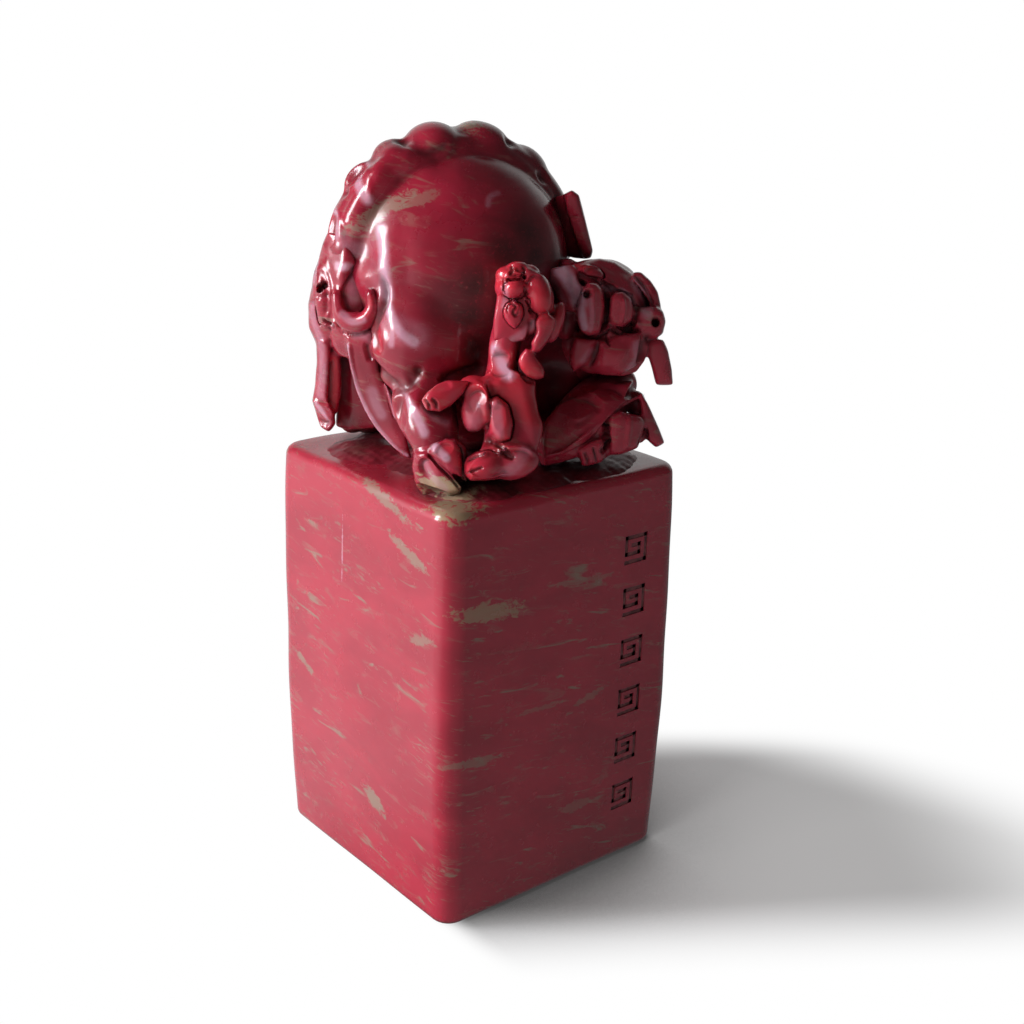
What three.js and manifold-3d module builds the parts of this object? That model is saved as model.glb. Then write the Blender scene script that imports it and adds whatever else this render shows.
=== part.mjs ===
// A carved seal stamp: a square stone shaft with an engraved printing face underneath, and a knob carved as a
// crouching lion that looks back at her cub. Millimetres, +Z up, origin at the middle of the printing face.
// The lion lies with her rump at -X and her chest at +X, her spine turned a little towards +Y at the rump.

import * as THREE from 'three';
import { mergeVertices } from 'three/addons/utils/BufferGeometryUtils.js';
import Module from 'manifold-3d';

const wasm = await Module();
wasm.setup();

// Shaft
const shaftWidth = 41.3;
const shaftHeight = 61.9;
const shaftTaper = 0.7; // how much narrower the foot is than the top
const shaftBelly = 0.3; // how far each side swells at mid height
const shaftCornerRadius = 2.4;
const shaftEdgeRadius = 0.9;

// Fret: a square spiral on a grid of seven by seven lines, cut into the printing face and down one side
const fretGrid = 7;
const fretPath = [[0, 0], [6, 0], [6, 6], [0, 6], [0, 2], [4, 2], [4, 4], [2, 4]];
const faceLine = 2.4;
const faceDepth = 0.9;
const faceCross = 1.4; // half width of the cross of stone between the four spirals
const columnLine = 0.62;
const columnDepth = 0.45;
const columnCount = 6;
const columnPitch = 7.95;
const columnTop = 50.5; // middle of the highest spiral
const columnOffset = 12.5; // from the middle of the side

// Ground under the animals
const groundWidth = 26;
const groundThickness = 1.6;
const groundCornerRadius = 8;

// Gap that keeps two neighbouring masses from touching
const seam = 0.3;

// Lion
const spineTurn = 162; // direction of the rump, degrees from +X
const bodyRadius = 16;
const bodyCentre = [-3, 2.5, 27.6];
const bellyRadius = 13.5;
const bellyCentre = [-1.5, 2.5, 13.6];
const shoulderRadius = 9.5;
const shoulderCentre = [8.5, -2.5, 14.5];
const crestScallops = 8;
const crestFrom = 2; // degrees above level, seen from the rump
const crestTo = 178;
const crestWidth = 2.6;
const crestNeck = 0.62; // width between two scallops, as a share
const crestLift = 0.5;
const haunchRadius = 8.2;
const haunchStretch = 1.3;
const pawHeight = 0.85;
const toeSpread = 32; // degrees

// Tail
const tailHeight = 24; // middle of the curls
const curlRadius = 3.9;
const curlThickness = 1.55;
const curlOffset = 5.5;
const strandWidth = 2.5;
const strandThickness = 1.3;

// Head, mane and cub
const skullRadius = 5.6;
const nostrilRadius = 0.55;
const nostrilDepth = 1.6;
const ringRadius = 1.75;
const ringThickness = 0.85;
const lockThickness = 1.1;
const cubHeadRadius = 4.1;

// Smoothness
const limbSides = 8;
const capRings = 3;

const red = new THREE.MeshStandardMaterial({ color: 0x9c1f30, roughness: 0.28, metalness: 0 });
const brightRed = new THREE.MeshStandardMaterial({ color: 0xb0212c, roughness: 0.25, metalness: 0 });
const darkRed = new THREE.MeshStandardMaterial({ color: 0x5c1a26, roughness: 0.45, metalness: 0 });

const vector = (p) => new THREE.Vector3(...p);
const radians = THREE.MathUtils.degToRad;
const offset = (p, x, y, z) => [p[0] + x, p[1] + y, p[2] + z];

// The direction of the rump and, square to it, of the lion's right side, where the cub is.
const rumpward = new THREE.Vector3(Math.cos(radians(spineTurn)), Math.sin(radians(spineTurn)), 0);
const rightward = new THREE.Vector3(-rumpward.y, rumpward.x, 0);

// A shape is a function of how much it is grown, so that a neighbour can be cut to clear it.

function ball(centre, radii, turn = [0, 0, 0], sides = 14, rings = 9) {
  return (grow) => {
    const size = Array.isArray(radii) ? radii : [radii, radii, radii];
    const sphere = new THREE.SphereGeometry(1, sides, rings).rotateX(Math.PI / 2);
    sphere.scale(size[0] + grow, size[1] + grow, size[2] + grow);
    const angles = new THREE.Euler(...turn.map(radians), 'XYZ');
    sphere.applyMatrix4(new THREE.Matrix4().makeRotationFromEuler(angles).setPosition(vector(centre)));
    return sphere;
  };
}

// A round-ended limb along a smooth path. Its section is an ellipse: each width is a radius across the path,
// and flatness times that radius lies along the facing direction.
function limb(path, widths, { facing = [0, 0, 1], flatness = 1, steps = 3 * (path.length - 1) } = {}) {
  return (grow) => {
    const curve = new THREE.CatmullRomCurve3(path.map(vector), false, 'centripetal');
    const rings = [];
    const ring = (share, along, swell) => {
      const at = share * (widths.length - 1);
      const low = Math.min(Math.floor(at), widths.length - 2);
      const plain = THREE.MathUtils.lerp(widths[low], widths[low + 1], at - low);
      const [width, depth] = [plain + grow, plain * flatness + grow];
      const tangent = curve.getTangent(share);
      const front = vector(facing).addScaledVector(tangent, -vector(facing).dot(tangent)).normalize();
      const side = new THREE.Vector3().crossVectors(front, tangent);
      const centre = curve.getPoint(share).addScaledVector(tangent, along * Math.min(width, depth * 1.4));
      rings.push({ centre, side, front, width: width * swell, depth: depth * swell });
    };
    for (let i = 0; i <= capRings; i++) {
      const angle = (i / capRings) * Math.PI / 2;
      ring(0, -Math.cos(angle), Math.sin(angle));
    }
    for (let i = 1; i < steps; i++) {
      ring(i / steps, 0, 1);
    }
    for (let i = 0; i <= capRings; i++) {
      const angle = (i / capRings) * Math.PI / 2;
      ring(1, Math.sin(angle), Math.cos(angle));
    }
    const profile = rings.map((_, i) => new THREE.Vector2(i === 0 || i === rings.length - 1 ? 0 : 1, i));
    const tube = new THREE.LatheGeometry(profile, limbSides);
    const position = tube.getAttribute('position');
    for (let i = 0; i < position.count; i++) {
      const { centre, side, front, width, depth } = rings[Math.round(position.getY(i))];
      const point = centre.clone();
      point.addScaledVector(side, position.getX(i) * width).addScaledVector(front, position.getZ(i) * depth);
      position.setXYZ(i, point.x, point.y, point.z);
    }
    return tube;
  };
}

function box(low, high) {
  return () => {
    const size = high.map((value, i) => value - low[i]);
    return new THREE.BoxGeometry(...size).translate(...high.map((value, i) => (value + low[i]) / 2));
  };
}

function solid(geometry) {
  const bare = geometry.clone();
  bare.deleteAttribute('normal');
  bare.deleteAttribute('uv');
  const merged = mergeVertices(bare, 1e-4);
  const triVerts = Array.from(merged.index.array);
  const kept = [];
  for (let i = 0; i < triVerts.length; i += 3) {
    const [a, b, c] = triVerts.slice(i, i + 3);
    if (a !== b && b !== c && c !== a) kept.push(a, b, c);
  }
  const vertProperties = new Float32Array(merged.getAttribute('position').array);
  const bodyOf = (corners) => new wasm.Manifold(
    new wasm.Mesh({ numProp: 3, vertProperties, triVerts: new Uint32Array(corners) }),
  );
  const body = bodyOf(kept);
  if (body.volume() > 0) return body;
  const turned = kept.map((_, i) => kept[i % 3 === 0 ? i : i + (i % 3 === 1 ? 1 : -1)]);
  return bodyOf(turned);
}

function joined(shapes, grow = 0) {
  return shapes.map((shape) => solid(shape(grow))).reduce((sum, next) => sum.add(next));
}

// The largest body is the piece, and what a cut leaves beside it is waste.
function largest(body) {
  return body.decompose().reduce((best, next) => (next.volume() > best.volume() ? next : best));
}

function meshOf(name, body, material) {
  const { vertProperties, triVerts } = body.getMesh();
  const geometry = new THREE.BufferGeometry();
  geometry.setAttribute('position', new THREE.BufferAttribute(new Float32Array(vertProperties), 3));
  geometry.setIndex(new THREE.BufferAttribute(new Uint32Array(triVerts), 1));
  const mesh = new THREE.Mesh(geometry, material);
  mesh.name = name;
  return mesh;
}

const seal = new THREE.Group();
seal.name = 'seal_stamp';
const knob = new THREE.Group();
knob.position.z = shaftHeight;
seal.add(knob);

// What is already carved, grown by the seam. Each new mass is cut back from it and from the shaft's top.
let carved = solid(box([-shaftWidth, -shaftWidth, -1], [shaftWidth, shaftWidth, seam])());

function carve(name, shapes, material = red, cuts = []) {
  let body = joined(shapes);
  for (const cut of cuts) {
    body = body.subtract(solid(cut(0)));
  }
  knob.add(meshOf(name, largest(body.subtract(carved)), material));
  carved = carved.add(joined(shapes, seam));
}

// Shaft, with its printing face and the fret down its side

function roundedSquare(width, radius) {
  const reach = width / 2 - radius;
  const shape = new THREE.Shape();
  for (let corner = 0; corner < 4; corner++) {
    const [from, to] = [corner * Math.PI / 2, (corner + 1) * Math.PI / 2];
    const middle = from + Math.PI / 4;
    const [x, y] = [reach * Math.sign(Math.cos(middle)), reach * Math.sign(Math.sin(middle))];
    shape.absarc(x, y, radius, from, to);
  }
  return shape;
}

function slab(width, height, cornerRadius, edgeRadius, steps) {
  return new THREE.ExtrudeGeometry(roundedSquare(width, cornerRadius), {
    depth: height - 2 * edgeRadius,
    steps,
    curveSegments: 4,
    bevelThickness: edgeRadius,
    bevelSize: edgeRadius,
    bevelOffset: -edgeRadius,
    bevelSegments: 2,
  }).translate(0, 0, edgeRadius);
}

// The bars of one spiral, as [low, high] corners, with the grid's corner at the origin
function fretBars(line) {
  const bars = [];
  for (let i = 1; i < fretPath.length; i++) {
    const [a, b] = [fretPath[i - 1], fretPath[i]];
    const low = [Math.min(a[0], b[0]) * line, Math.min(a[1], b[1]) * line];
    const high = [(Math.max(a[0], b[0]) + 1) * line, (Math.max(a[1], b[1]) + 1) * line];
    bars.push([low, high]);
  }
  return bars;
}

function faceFret() {
  const cuts = [];
  for (const [signX, signY] of [[1, 1], [-1, 1], [-1, -1], [1, -1]]) {
    for (const [low, high] of fretBars(faceLine)) {
      const xs = [low[0], high[0]].map((x) => signX * (faceCross + x)).sort((a, b) => a - b);
      const ys = [low[1], high[1]].map((y) => signY * (faceCross + y)).sort((a, b) => a - b);
      cuts.push(box([xs[0], ys[0], -faceDepth], [xs[1], ys[1], faceDepth]));
    }
  }
  return cuts;
}

const sideAt = (height) => {
  const share = height / shaftHeight;
  return shaftWidth / 2 - shaftTaper / 2 * (1 - share) + shaftBelly * 4 * share * (1 - share);
};

function columnFret() {
  const cuts = [];
  for (let i = 0; i < columnCount; i++) {
    const middle = columnTop - i * columnPitch;
    const side = -sideAt(middle);
    const corner = [columnOffset - fretGrid * columnLine / 2, middle - fretGrid * columnLine / 2];
    for (const [low, high] of fretBars(columnLine)) {
      cuts.push(box(
        [corner[0] + low[0], side - 1, corner[1] + low[1]],
        [corner[0] + high[0], side + columnDepth, corner[1] + high[1]],
      ));
    }
  }
  return cuts;
}

function shaft() {
  const geometry = slab(shaftWidth, shaftHeight, shaftCornerRadius, shaftEdgeRadius, 6);
  const position = geometry.getAttribute('position');
  for (let i = 0; i < position.count; i++) {
    const scale = sideAt(position.getZ(i)) / (shaftWidth / 2);
    position.setX(i, position.getX(i) * scale);
    position.setY(i, position.getY(i) * scale);
  }
  const body = solid(geometry).subtract(joined(faceFret())).subtract(joined(columnFret()));
  seal.add(meshOf('seal_shaft', body, red));
}
shaft();

// Ground

carve('carved_ground', [
  () => slab(groundWidth, groundThickness + seam, groundCornerRadius, 0.6, 1),
], darkRed);

// Body

const onBody = (azimuth, elevation, lift = 0) => {
  const flat = (bodyRadius + lift) * Math.cos(radians(elevation));
  const rise = (bodyRadius + lift) * Math.sin(radians(elevation));
  return offset(bodyCentre, flat * Math.cos(radians(azimuth)), flat * Math.sin(radians(azimuth)), rise);
};

carve('lion_body', [
  ball(bodyCentre, bodyRadius, [0, 0, 0], 24, 16),
  ball(bellyCentre, bellyRadius, [0, 0, 0], 16, 11),
]);
carve('lion_shoulder', [
  ball(shoulderCentre, [shoulderRadius, shoulderRadius, shoulderRadius + 3]),
]);

function spineCrest() {
  const points = [];
  for (let i = 0; i <= 12; i++) {
    points.push(onBody(spineTurn, THREE.MathUtils.lerp(crestFrom, crestTo, i / 12), crestLift));
  }
  const widths = [];
  const stations = crestScallops * 4;
  for (let i = 0; i <= stations; i++) {
    const swell = Math.abs(Math.sin((i / 4) * Math.PI));
    widths.push(crestWidth * THREE.MathUtils.lerp(crestNeck, 1, swell));
  }
  return limb(points, widths, { facing: rightward.toArray(), steps: stations });
}
carve('spine_crest', [spineCrest()]);

// Legs. A paw is a pad with three toes that fan out along its heading.

function paw(centre, heading, size) {
  const toe = size * 0.53;
  const shapes = [ball(centre, [size, size * 0.95, size * pawHeight], [0, 0, heading], 12, 8)];
  for (const spread of [-toeSpread, 0, toeSpread]) {
    const angle = radians(heading + spread);
    const [x, y] = [size * 0.8 * Math.cos(angle), size * 0.8 * Math.sin(angle)];
    const place = offset(centre, x, y, -size * 0.2);
    shapes.push(ball(place, [toe * 1.35, toe * 0.85, toe], [0, 0, heading + spread], 8, 6));
  }
  return shapes;
}

const haunchSize = [haunchRadius, haunchRadius - 0.7, haunchRadius + haunchStretch];
carve('right_haunch', [ball([-11.6, -3.2, 18.4], haunchSize)]);
carve('left_haunch', [ball([-7.5, 12, 15], haunchSize)]);
carve('right_hind_paw', paw([-15.4, -13.4, 4.2], 236, 3.9));
carve('right_hind_leg', [
  limb([[-11.6, -4.4, 14], [-14.8, -8.4, 10], [-15.8, -12, 5.6]], [5.4, 4.6, 3.5]),
]);
carve('left_hind_paw', paw([-8.6, 15.8, 3.2], 150, 3.1));
carve('left_hind_leg', [
  limb([[-4.6, 14.2, 11], [-6, 15.6, 7.4], [-7.6, 15.8, 4.4]], [4, 3.5, 2.7]),
]);
carve('right_foreleg', [
  limb([[13.2, -12.2, 12.5], [7.4, -14.4, 8.6], [1.6, -15.8, 4.8]], [4.6, 4.2, 3.3]),
]);
carve('right_fore_paw', paw([6.6, -16.8, 2.8], -35, 2.3));
carve('left_foreleg', [
  limb([[9.5, 5.5, 12], [13, 10.5, 8], [13.6, 13.5, 4.4]], [4.4, 3.6, 2.9]),
]);
carve('left_fore_paw', paw([14.8, 15, 3.4], 50, 3.2));

// Tail. A place on it is given by how far it lies towards the right side, its height, and how far out it stands.

const rump = onBody(spineTurn, 0);
const onTail = (side, height, out = 0) => {
  const point = vector([rump[0], rump[1], 0]);
  point.addScaledVector(rightward, side).addScaledVector(rumpward, out);
  return [point.x, point.y, height];
};
const outward = { facing: rumpward.toArray() };

carve('tail_stem', [
  limb(
    [onTail(0, tailHeight + 8, 0.3), onTail(0, tailHeight, 1), onTail(0, tailHeight - 6, 0.7)],
    [1.4, 2, 1.7],
    { ...outward, flatness: 0.8 },
  ),
]);

// A curl leaves the stem, hangs, turns outwards and up, and tucks its tip in.
function tailCurl(hand, out) {
  const points = [];
  for (let step = 0; step <= 8; step++) {
    const angle = radians(150 + step * 38);
    const reach = curlRadius * (1 - 0.07 * Math.max(0, step - 4));
    const side = hand * (curlOffset + reach * Math.cos(angle));
    const wrap = 0.05 * Math.abs(side) ** 1.5;
    points.push(onTail(side, tailHeight + reach * Math.sin(angle) + (step === 0 ? 1.2 : 0), out - wrap));
  }
  return limb(points, [1.7, curlThickness, curlThickness, 1.3, 1], { ...outward, steps: 16 });
}
carve('right_tail_curl', [tailCurl(1, -0.4)]);
carve('left_tail_curl', [tailCurl(-1, 1.6)]);

function tailStrand(points, facing) {
  return limb(points, [1.3, strandWidth, strandWidth, 0.9], {
    facing,
    flatness: strandThickness / strandWidth,
    steps: 9,
  });
}
const strandTop = tailHeight - curlRadius - curlThickness;
carve('middle_tail_strand', [tailStrand([
  onTail(-1.5, strandTop, 0.2),
  onTail(-1.8, 13, 0.6),
  onTail(-1.6, 8, 0.5),
  onTail(-1, groundThickness + 2, 0),
], rumpward.toArray())]);
carve('right_tail_strand', [tailStrand([
  [-17, 6.4, strandTop], [-17, 3.2, 12], [-16.2, -0.4, 6.4], [-13.2, -2.6, groundThickness + 2],
], [-0.93, -0.36, 0])]);
carve('left_tail_strand', [tailStrand([
  [-18.4, 12.6, strandTop - 1], [-18.2, 12.6, 12], [-18.2, 13.2, 7], [-16.8, 13.6, groundThickness + 2.2],
], [-0.7, 0.7, 0])]);

// Head, turned back along the right side. Its snout points to -X and its left cheek to -Y.

carve('lion_skull', [
  ball([12.2, -12.2, 23], [skullRadius + 0.6, skullRadius, skullRadius + 0.4]),
  ball([8.4, -12.6, 22.8], [4.2, 4.6, 4.2], [0, 0, 0], 12, 8),
]);
const nostrils = [[4.6, -17.4, 24.9], [3.4, -9.6, 27.2]];
const nostril = (mouth) => limb(
  [offset(mouth, -3, -0.8, 0), offset(mouth, nostrilDepth - 1.2, 0, 0)],
  [nostrilRadius, nostrilRadius],
);
carve('lion_nose', [
  limb([[5.2, -16.6, 24.4], [4.8, -13.2, 25.8], [4, -9.6, 26.8]], [2, 2.4, 1.8]),
  limb([[5.8, -17.2, 24.2], [6.4, -17.4, 20.4]], [1.7, 1.5]),
], red, nostrils.map(nostril));
carve('lion_brow', [
  limb([[8, -15.4, 26.4], [11, -16.4, 27.4], [14.2, -16, 25.4]], [1.5, 1.9, 1.3]),
]);
carve('left_eye', [ball([9.8, -17, 24.3], [1.9, 1.3, 1.5], [0, 0, 0], 10, 7)]);
carve('left_cheek', [ball([11.4, -16.8, 21.4], [2.4, 1.7, 2.4], [0, 0, 0], 10, 7)]);
carve('lion_jaw', [
  ball([10.8, -13.6, 16.6], [5.6, 4.4, 3.6]),
  limb([[6, -15.6, 18], [6.8, -15.2, 15.2]], [1.9, 1.5]),
]);
const outwardLeft = [0, -1, 0];
carve('left_ear', [
  limb([[13.8, -15.4, 27.2], [16.6, -15.8, 26.2], [17.8, -15.8, 22.8]], [1.3, 2, 1], {
    facing: outwardLeft,
    flatness: 0.55,
  }),
]);

// Mane

carve('mane_ring_curl', [
  (grow) => new THREE.TorusGeometry(ringRadius, ringThickness + grow, 8, 16)
    .rotateX(Math.PI / 2)
    .translate(17.2, -17, 20.3),
]);

const behindNose = [-0.6, -0.8, 0];
const outwardFront = [1, 0, 0];
const maneLocks = [
  ['mane_lock_1', outwardLeft, [2, 2.7, 2.3], [[16, -16.4, 18.6], [17.4, -17.2, 15], [18.2, -17.8, 12.4]]],
  ['mane_lock_2', outwardLeft, [1.8, 2.4, 2], [[14.8, -16.2, 10], [16.8, -17.4, 6.4], [17.8, -17.8, 3.8]]],
  ['mane_lock_3', behindNose, [2, 2.3, 1.7],
    [onBody(-32, -9, 4.5), onBody(-36, 6, 2.1), onBody(-41, 27, 1.7)]],
  ['mane_lock_4', outwardFront, [2.2, 2.8, 1.6], [[17, -4, 24], [18, -2.5, 18], [18.2, -1, 12]]],
  ['mane_lock_5', [0.9, 0.4, 0], [2.2, 2.8, 1.6], [[14.5, 1, 25], [17, 4, 19], [17.6, 6, 13]]],
  ['mane_lock_6', outwardFront, [2.2, 2.6, 1.5], [[17.6, -10.5, 20], [18.6, -9.5, 14], [18.6, -8.5, 8]]],
];
for (const [name, facing, widths, path] of maneLocks) {
  carve(name, [limb(path, widths, { facing, flatness: lockThickness / widths[1] })]);
}
carve('chin_tuft', [
  limb([[12.4, -16.4, 7.8], [12.4, -17.4, 5.6], [12.2, -17.4, 3.8]], [2.6, 3, 2.7], {
    facing: outwardLeft,
    flatness: 0.5,
  }),
]);

// Cub, on its hind feet against the lion's flank, its head turned to her nose

carve('cub_body', [
  limb([[-6.4, -11.8, 7], [-7.2, -12.6, 12.6], [-7.4, -13.4, 16.5]], [4.4, 4.4, 3.4]),
], brightRed);
carve('cub_thigh', [ball([-6.9, -15.2, 8.2], [4.6, 4, 6.4], [0, -8, 30])], brightRed);
carve('cub_hind_foot', paw([-11.4, -16.4, 4], 205, 3), brightRed);
carve('cub_arm', [
  limb([[-9.6, -14.6, 14.4], [-12, -14, 10.6]], [2.4, 2]),
], brightRed);
carve('cub_fore_paw', [
  limb([[-11.4, -12.6, 15], [-14.8, -11.8, 13.4]], [2, 2.1]),
  ball([-16, -12.2, 12.6], [1.6, 1.6, 1.9], [0, 0, 0], 8, 6),
], brightRed);
carve('cub_neck', [
  limb([[-7.2, -13.4, 15.6], [-6.8, -14.4, 20], [-6.4, -15.2, 24]], [3.2, 2.4, 3]),
], brightRed);
carve('cub_head', [
  ball([-5.2, -15.7, 26.4], [cubHeadRadius, cubHeadRadius * 0.9, cubHeadRadius]),
  ball([-7.4, -16.4, 29], 1.8, [0, 0, 0], 8, 6),
  ball([-3.6, -17, 26.4], [2, 1.7, 2.9], [0, 0, 0], 10, 7),
], brightRed);
carve('cub_ear', [ball([-8.4, -17.6, 25.2], [1.5, 1.1, 3.2], [0, 8, 35], 8, 6)], brightRed);
carve('cub_snout', [limb([[-3.6, -17.6, 22.6], [-3.8, -17.8, 20]], [1.6, 1.7])], brightRed);
carve('cub_jaw', [limb([[-4.6, -16.8, 18.2], [-5, -16.6, 16]], [1.7, 1.4])], brightRed);

export default seal;
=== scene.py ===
"""Finish of a carved seal stamp: a square stone shaft with a lion and her cub as its knob.

Places on the knob are given in millimetres, or as a sight: a point of the photographed view (across and down, in
1024ths of its side) together with how far it stands towards the viewer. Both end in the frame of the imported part.
"""

import math

import bmesh
import bpy
import numpy as np
from mathutils import Matrix, Vector
from mathutils.bvhtree import BVHTree


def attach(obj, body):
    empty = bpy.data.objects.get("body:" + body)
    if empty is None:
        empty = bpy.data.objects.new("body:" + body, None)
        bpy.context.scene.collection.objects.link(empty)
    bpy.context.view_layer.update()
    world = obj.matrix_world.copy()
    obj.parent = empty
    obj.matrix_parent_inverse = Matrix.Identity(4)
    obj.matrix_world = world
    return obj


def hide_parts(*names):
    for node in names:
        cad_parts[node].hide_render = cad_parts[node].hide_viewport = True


bl_info = {
    "name": "Carved Seal Stamp",
    "version": (1, 0, 0),
    "blender": (4, 5, 0),
    "location": "3D View > Sidebar > Seal",
    "description": "Carves and colours a stone seal stamp with a lion and cub knob around its packed frame",
    "category": "Object",
}

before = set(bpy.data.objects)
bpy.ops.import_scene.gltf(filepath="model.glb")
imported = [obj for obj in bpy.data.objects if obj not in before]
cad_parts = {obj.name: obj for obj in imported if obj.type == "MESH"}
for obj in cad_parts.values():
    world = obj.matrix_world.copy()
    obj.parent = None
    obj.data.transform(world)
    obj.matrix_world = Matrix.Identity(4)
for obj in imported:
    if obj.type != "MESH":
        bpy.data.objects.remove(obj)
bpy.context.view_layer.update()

MM = 0.001
PICTURE_SIDE = 1024
FOCAL_PIXELS = 1425.9
SENSOR_WIDTH = 36  # mm
VIEW_TURN, VIEW_DIP, VIEW_ROLL = (math.radians(a) for a in (39.79, 18.65, 1.51))
VIEW_SHIFT, VIEW_HEIGHT, VIEW_DISTANCE = 5.265, 52.7, 211.08  # where the view is centred and how far off it is, in mm
KNOB_FOOT = 61.9  # height of the shaft's top that the carving is laid out on
SIGHT_SCALE = 7.1  # picture points to a millimetre at the knob


def view_axes():
    flat = math.cos(VIEW_DIP)
    ahead = Vector((math.sin(VIEW_TURN) * flat, math.cos(VIEW_TURN) * flat, -math.sin(VIEW_DIP)))
    level = Vector((math.cos(VIEW_TURN), -math.sin(VIEW_TURN), 0))
    rise = level.cross(ahead)
    right = math.cos(VIEW_ROLL) * level + math.sin(VIEW_ROLL) * rise
    up = -math.sin(VIEW_ROLL) * level + math.cos(VIEW_ROLL) * rise
    eye = VIEW_SHIFT * level + Vector((0, 0, VIEW_HEIGHT)) - VIEW_DISTANCE * ahead
    return right, up, ahead, eye


RIGHT, UP, AHEAD, EYE = view_axes()
NEARER = -Vector((math.sin(VIEW_TURN), math.cos(VIEW_TURN), 0))
VIEW_TURNED = Matrix((RIGHT, UP, -AHEAD)).transposed()


def sight_line(across, down):
    half = PICTURE_SIDE / 2
    return (AHEAD + RIGHT * (across - half) / FOCAL_PIXELS - UP * (down - half) / FOCAL_PIXELS).normalized()


def sight(across, down, near):
    """The place on a line of sight that stands `near` millimetres towards the viewer."""
    line = sight_line(across, down)
    return EYE + line * ((near - EYE.dot(NEARER)) / line.dot(NEARER))


def seen_at(places):
    """Across and down in the view, and how far towards the viewer, of many places."""
    away = places - np.array(EYE)
    depth = away @ np.array(AHEAD)
    across = PICTURE_SIDE / 2 + FOCAL_PIXELS * (away @ np.array(RIGHT)) / depth
    down = PICTURE_SIDE / 2 - FOCAL_PIXELS * (away @ np.array(UP)) / depth
    return across, down, places @ np.array(NEARER)


def knob(x, y, z):
    """A place on the knob in millimetres, its height counted from the shaft's top."""
    return Vector((x, y, z + KNOB_FOOT))


ROD_SPANS, STROKE_SPANS = 6, 5  # parts that a rod's and a stroke's line have from one given row to the next


def smooth_path(points, spans):
    """Points along a smooth line through the given rows of numbers."""
    rows = np.array(points, float)
    if len(rows) < 2:
        return rows
    ends = np.vstack([2 * rows[0] - rows[1], rows, 2 * rows[-1] - rows[-2]])
    line = []
    for i in range(1, len(ends) - 2):
        a, b, c, d = ends[i - 1 : i + 3]
        for step in range(spans):
            t = step / spans
            curve = 2 * b + (c - a) * t + (2 * a - 5 * b + 4 * c - d) * t**2
            line.append(0.5 * (curve + (3 * b - a - 3 * c + d) * t**3))
    line.append(rows[-1])
    return np.array(line)


def eased(share):
    """From 0 to 1, level at both ends."""
    return share * share * (3 - 2 * share)


def ring_matrix(centre, side, front, tangent, width, depth):
    columns = [(*(side * width), 0), (*(front * depth), 0), (*tangent, 0), (*centre, 1)]
    return Matrix(columns).transposed()


def cap_matrix(ring, way, angle):
    """A ring of a rod's rounded end: angle is 0 at the rod's last ring and 90 at its tip."""
    centre, side, front, tangent, width, depth = ring
    turn = math.radians(angle)
    centre = centre + way * min(width, depth * CAP_LENGTH) * math.sin(turn) * tangent
    return ring_matrix(centre, side, front, tangent, width * math.cos(turn), depth * math.cos(turn))


BALL_SIDES, BIG_BALL_SIDES, BIG_BALL = 28, 64, 9  # a ball is big from this half size, in millimetres
ROD_SIDES, CAP_ANGLES, CAP_LENGTH, THINNEST_ROD = 18, (82, 55, 27), 1.3, 0.15
THIN_END = 0.35  # a flat rod keeps at least this share of its thickness where it narrows
ROUGH_ROUNDS = 3  # rounds of smoothing before plates swell
PLATE_REACH, PLATE_FACING = 1.3, 0.15  # how near its plane a plate's front lies, and how far it faces the view
SIGHT_STEP, PLACE_STEP = 1.2, 0.16  # spacing of the places along a stroke, in picture points or millimetres
HOLLOW_ROUNDS, SPREAD_ROUNDS = 14, 2  # rounds of smoothing that hollows are told by, and that dirt and painted shade spread over
WAVES = 9  # waves that a ripple is made of
TINY = 1e-9  # keeps a share defined where two corners meet


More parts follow.
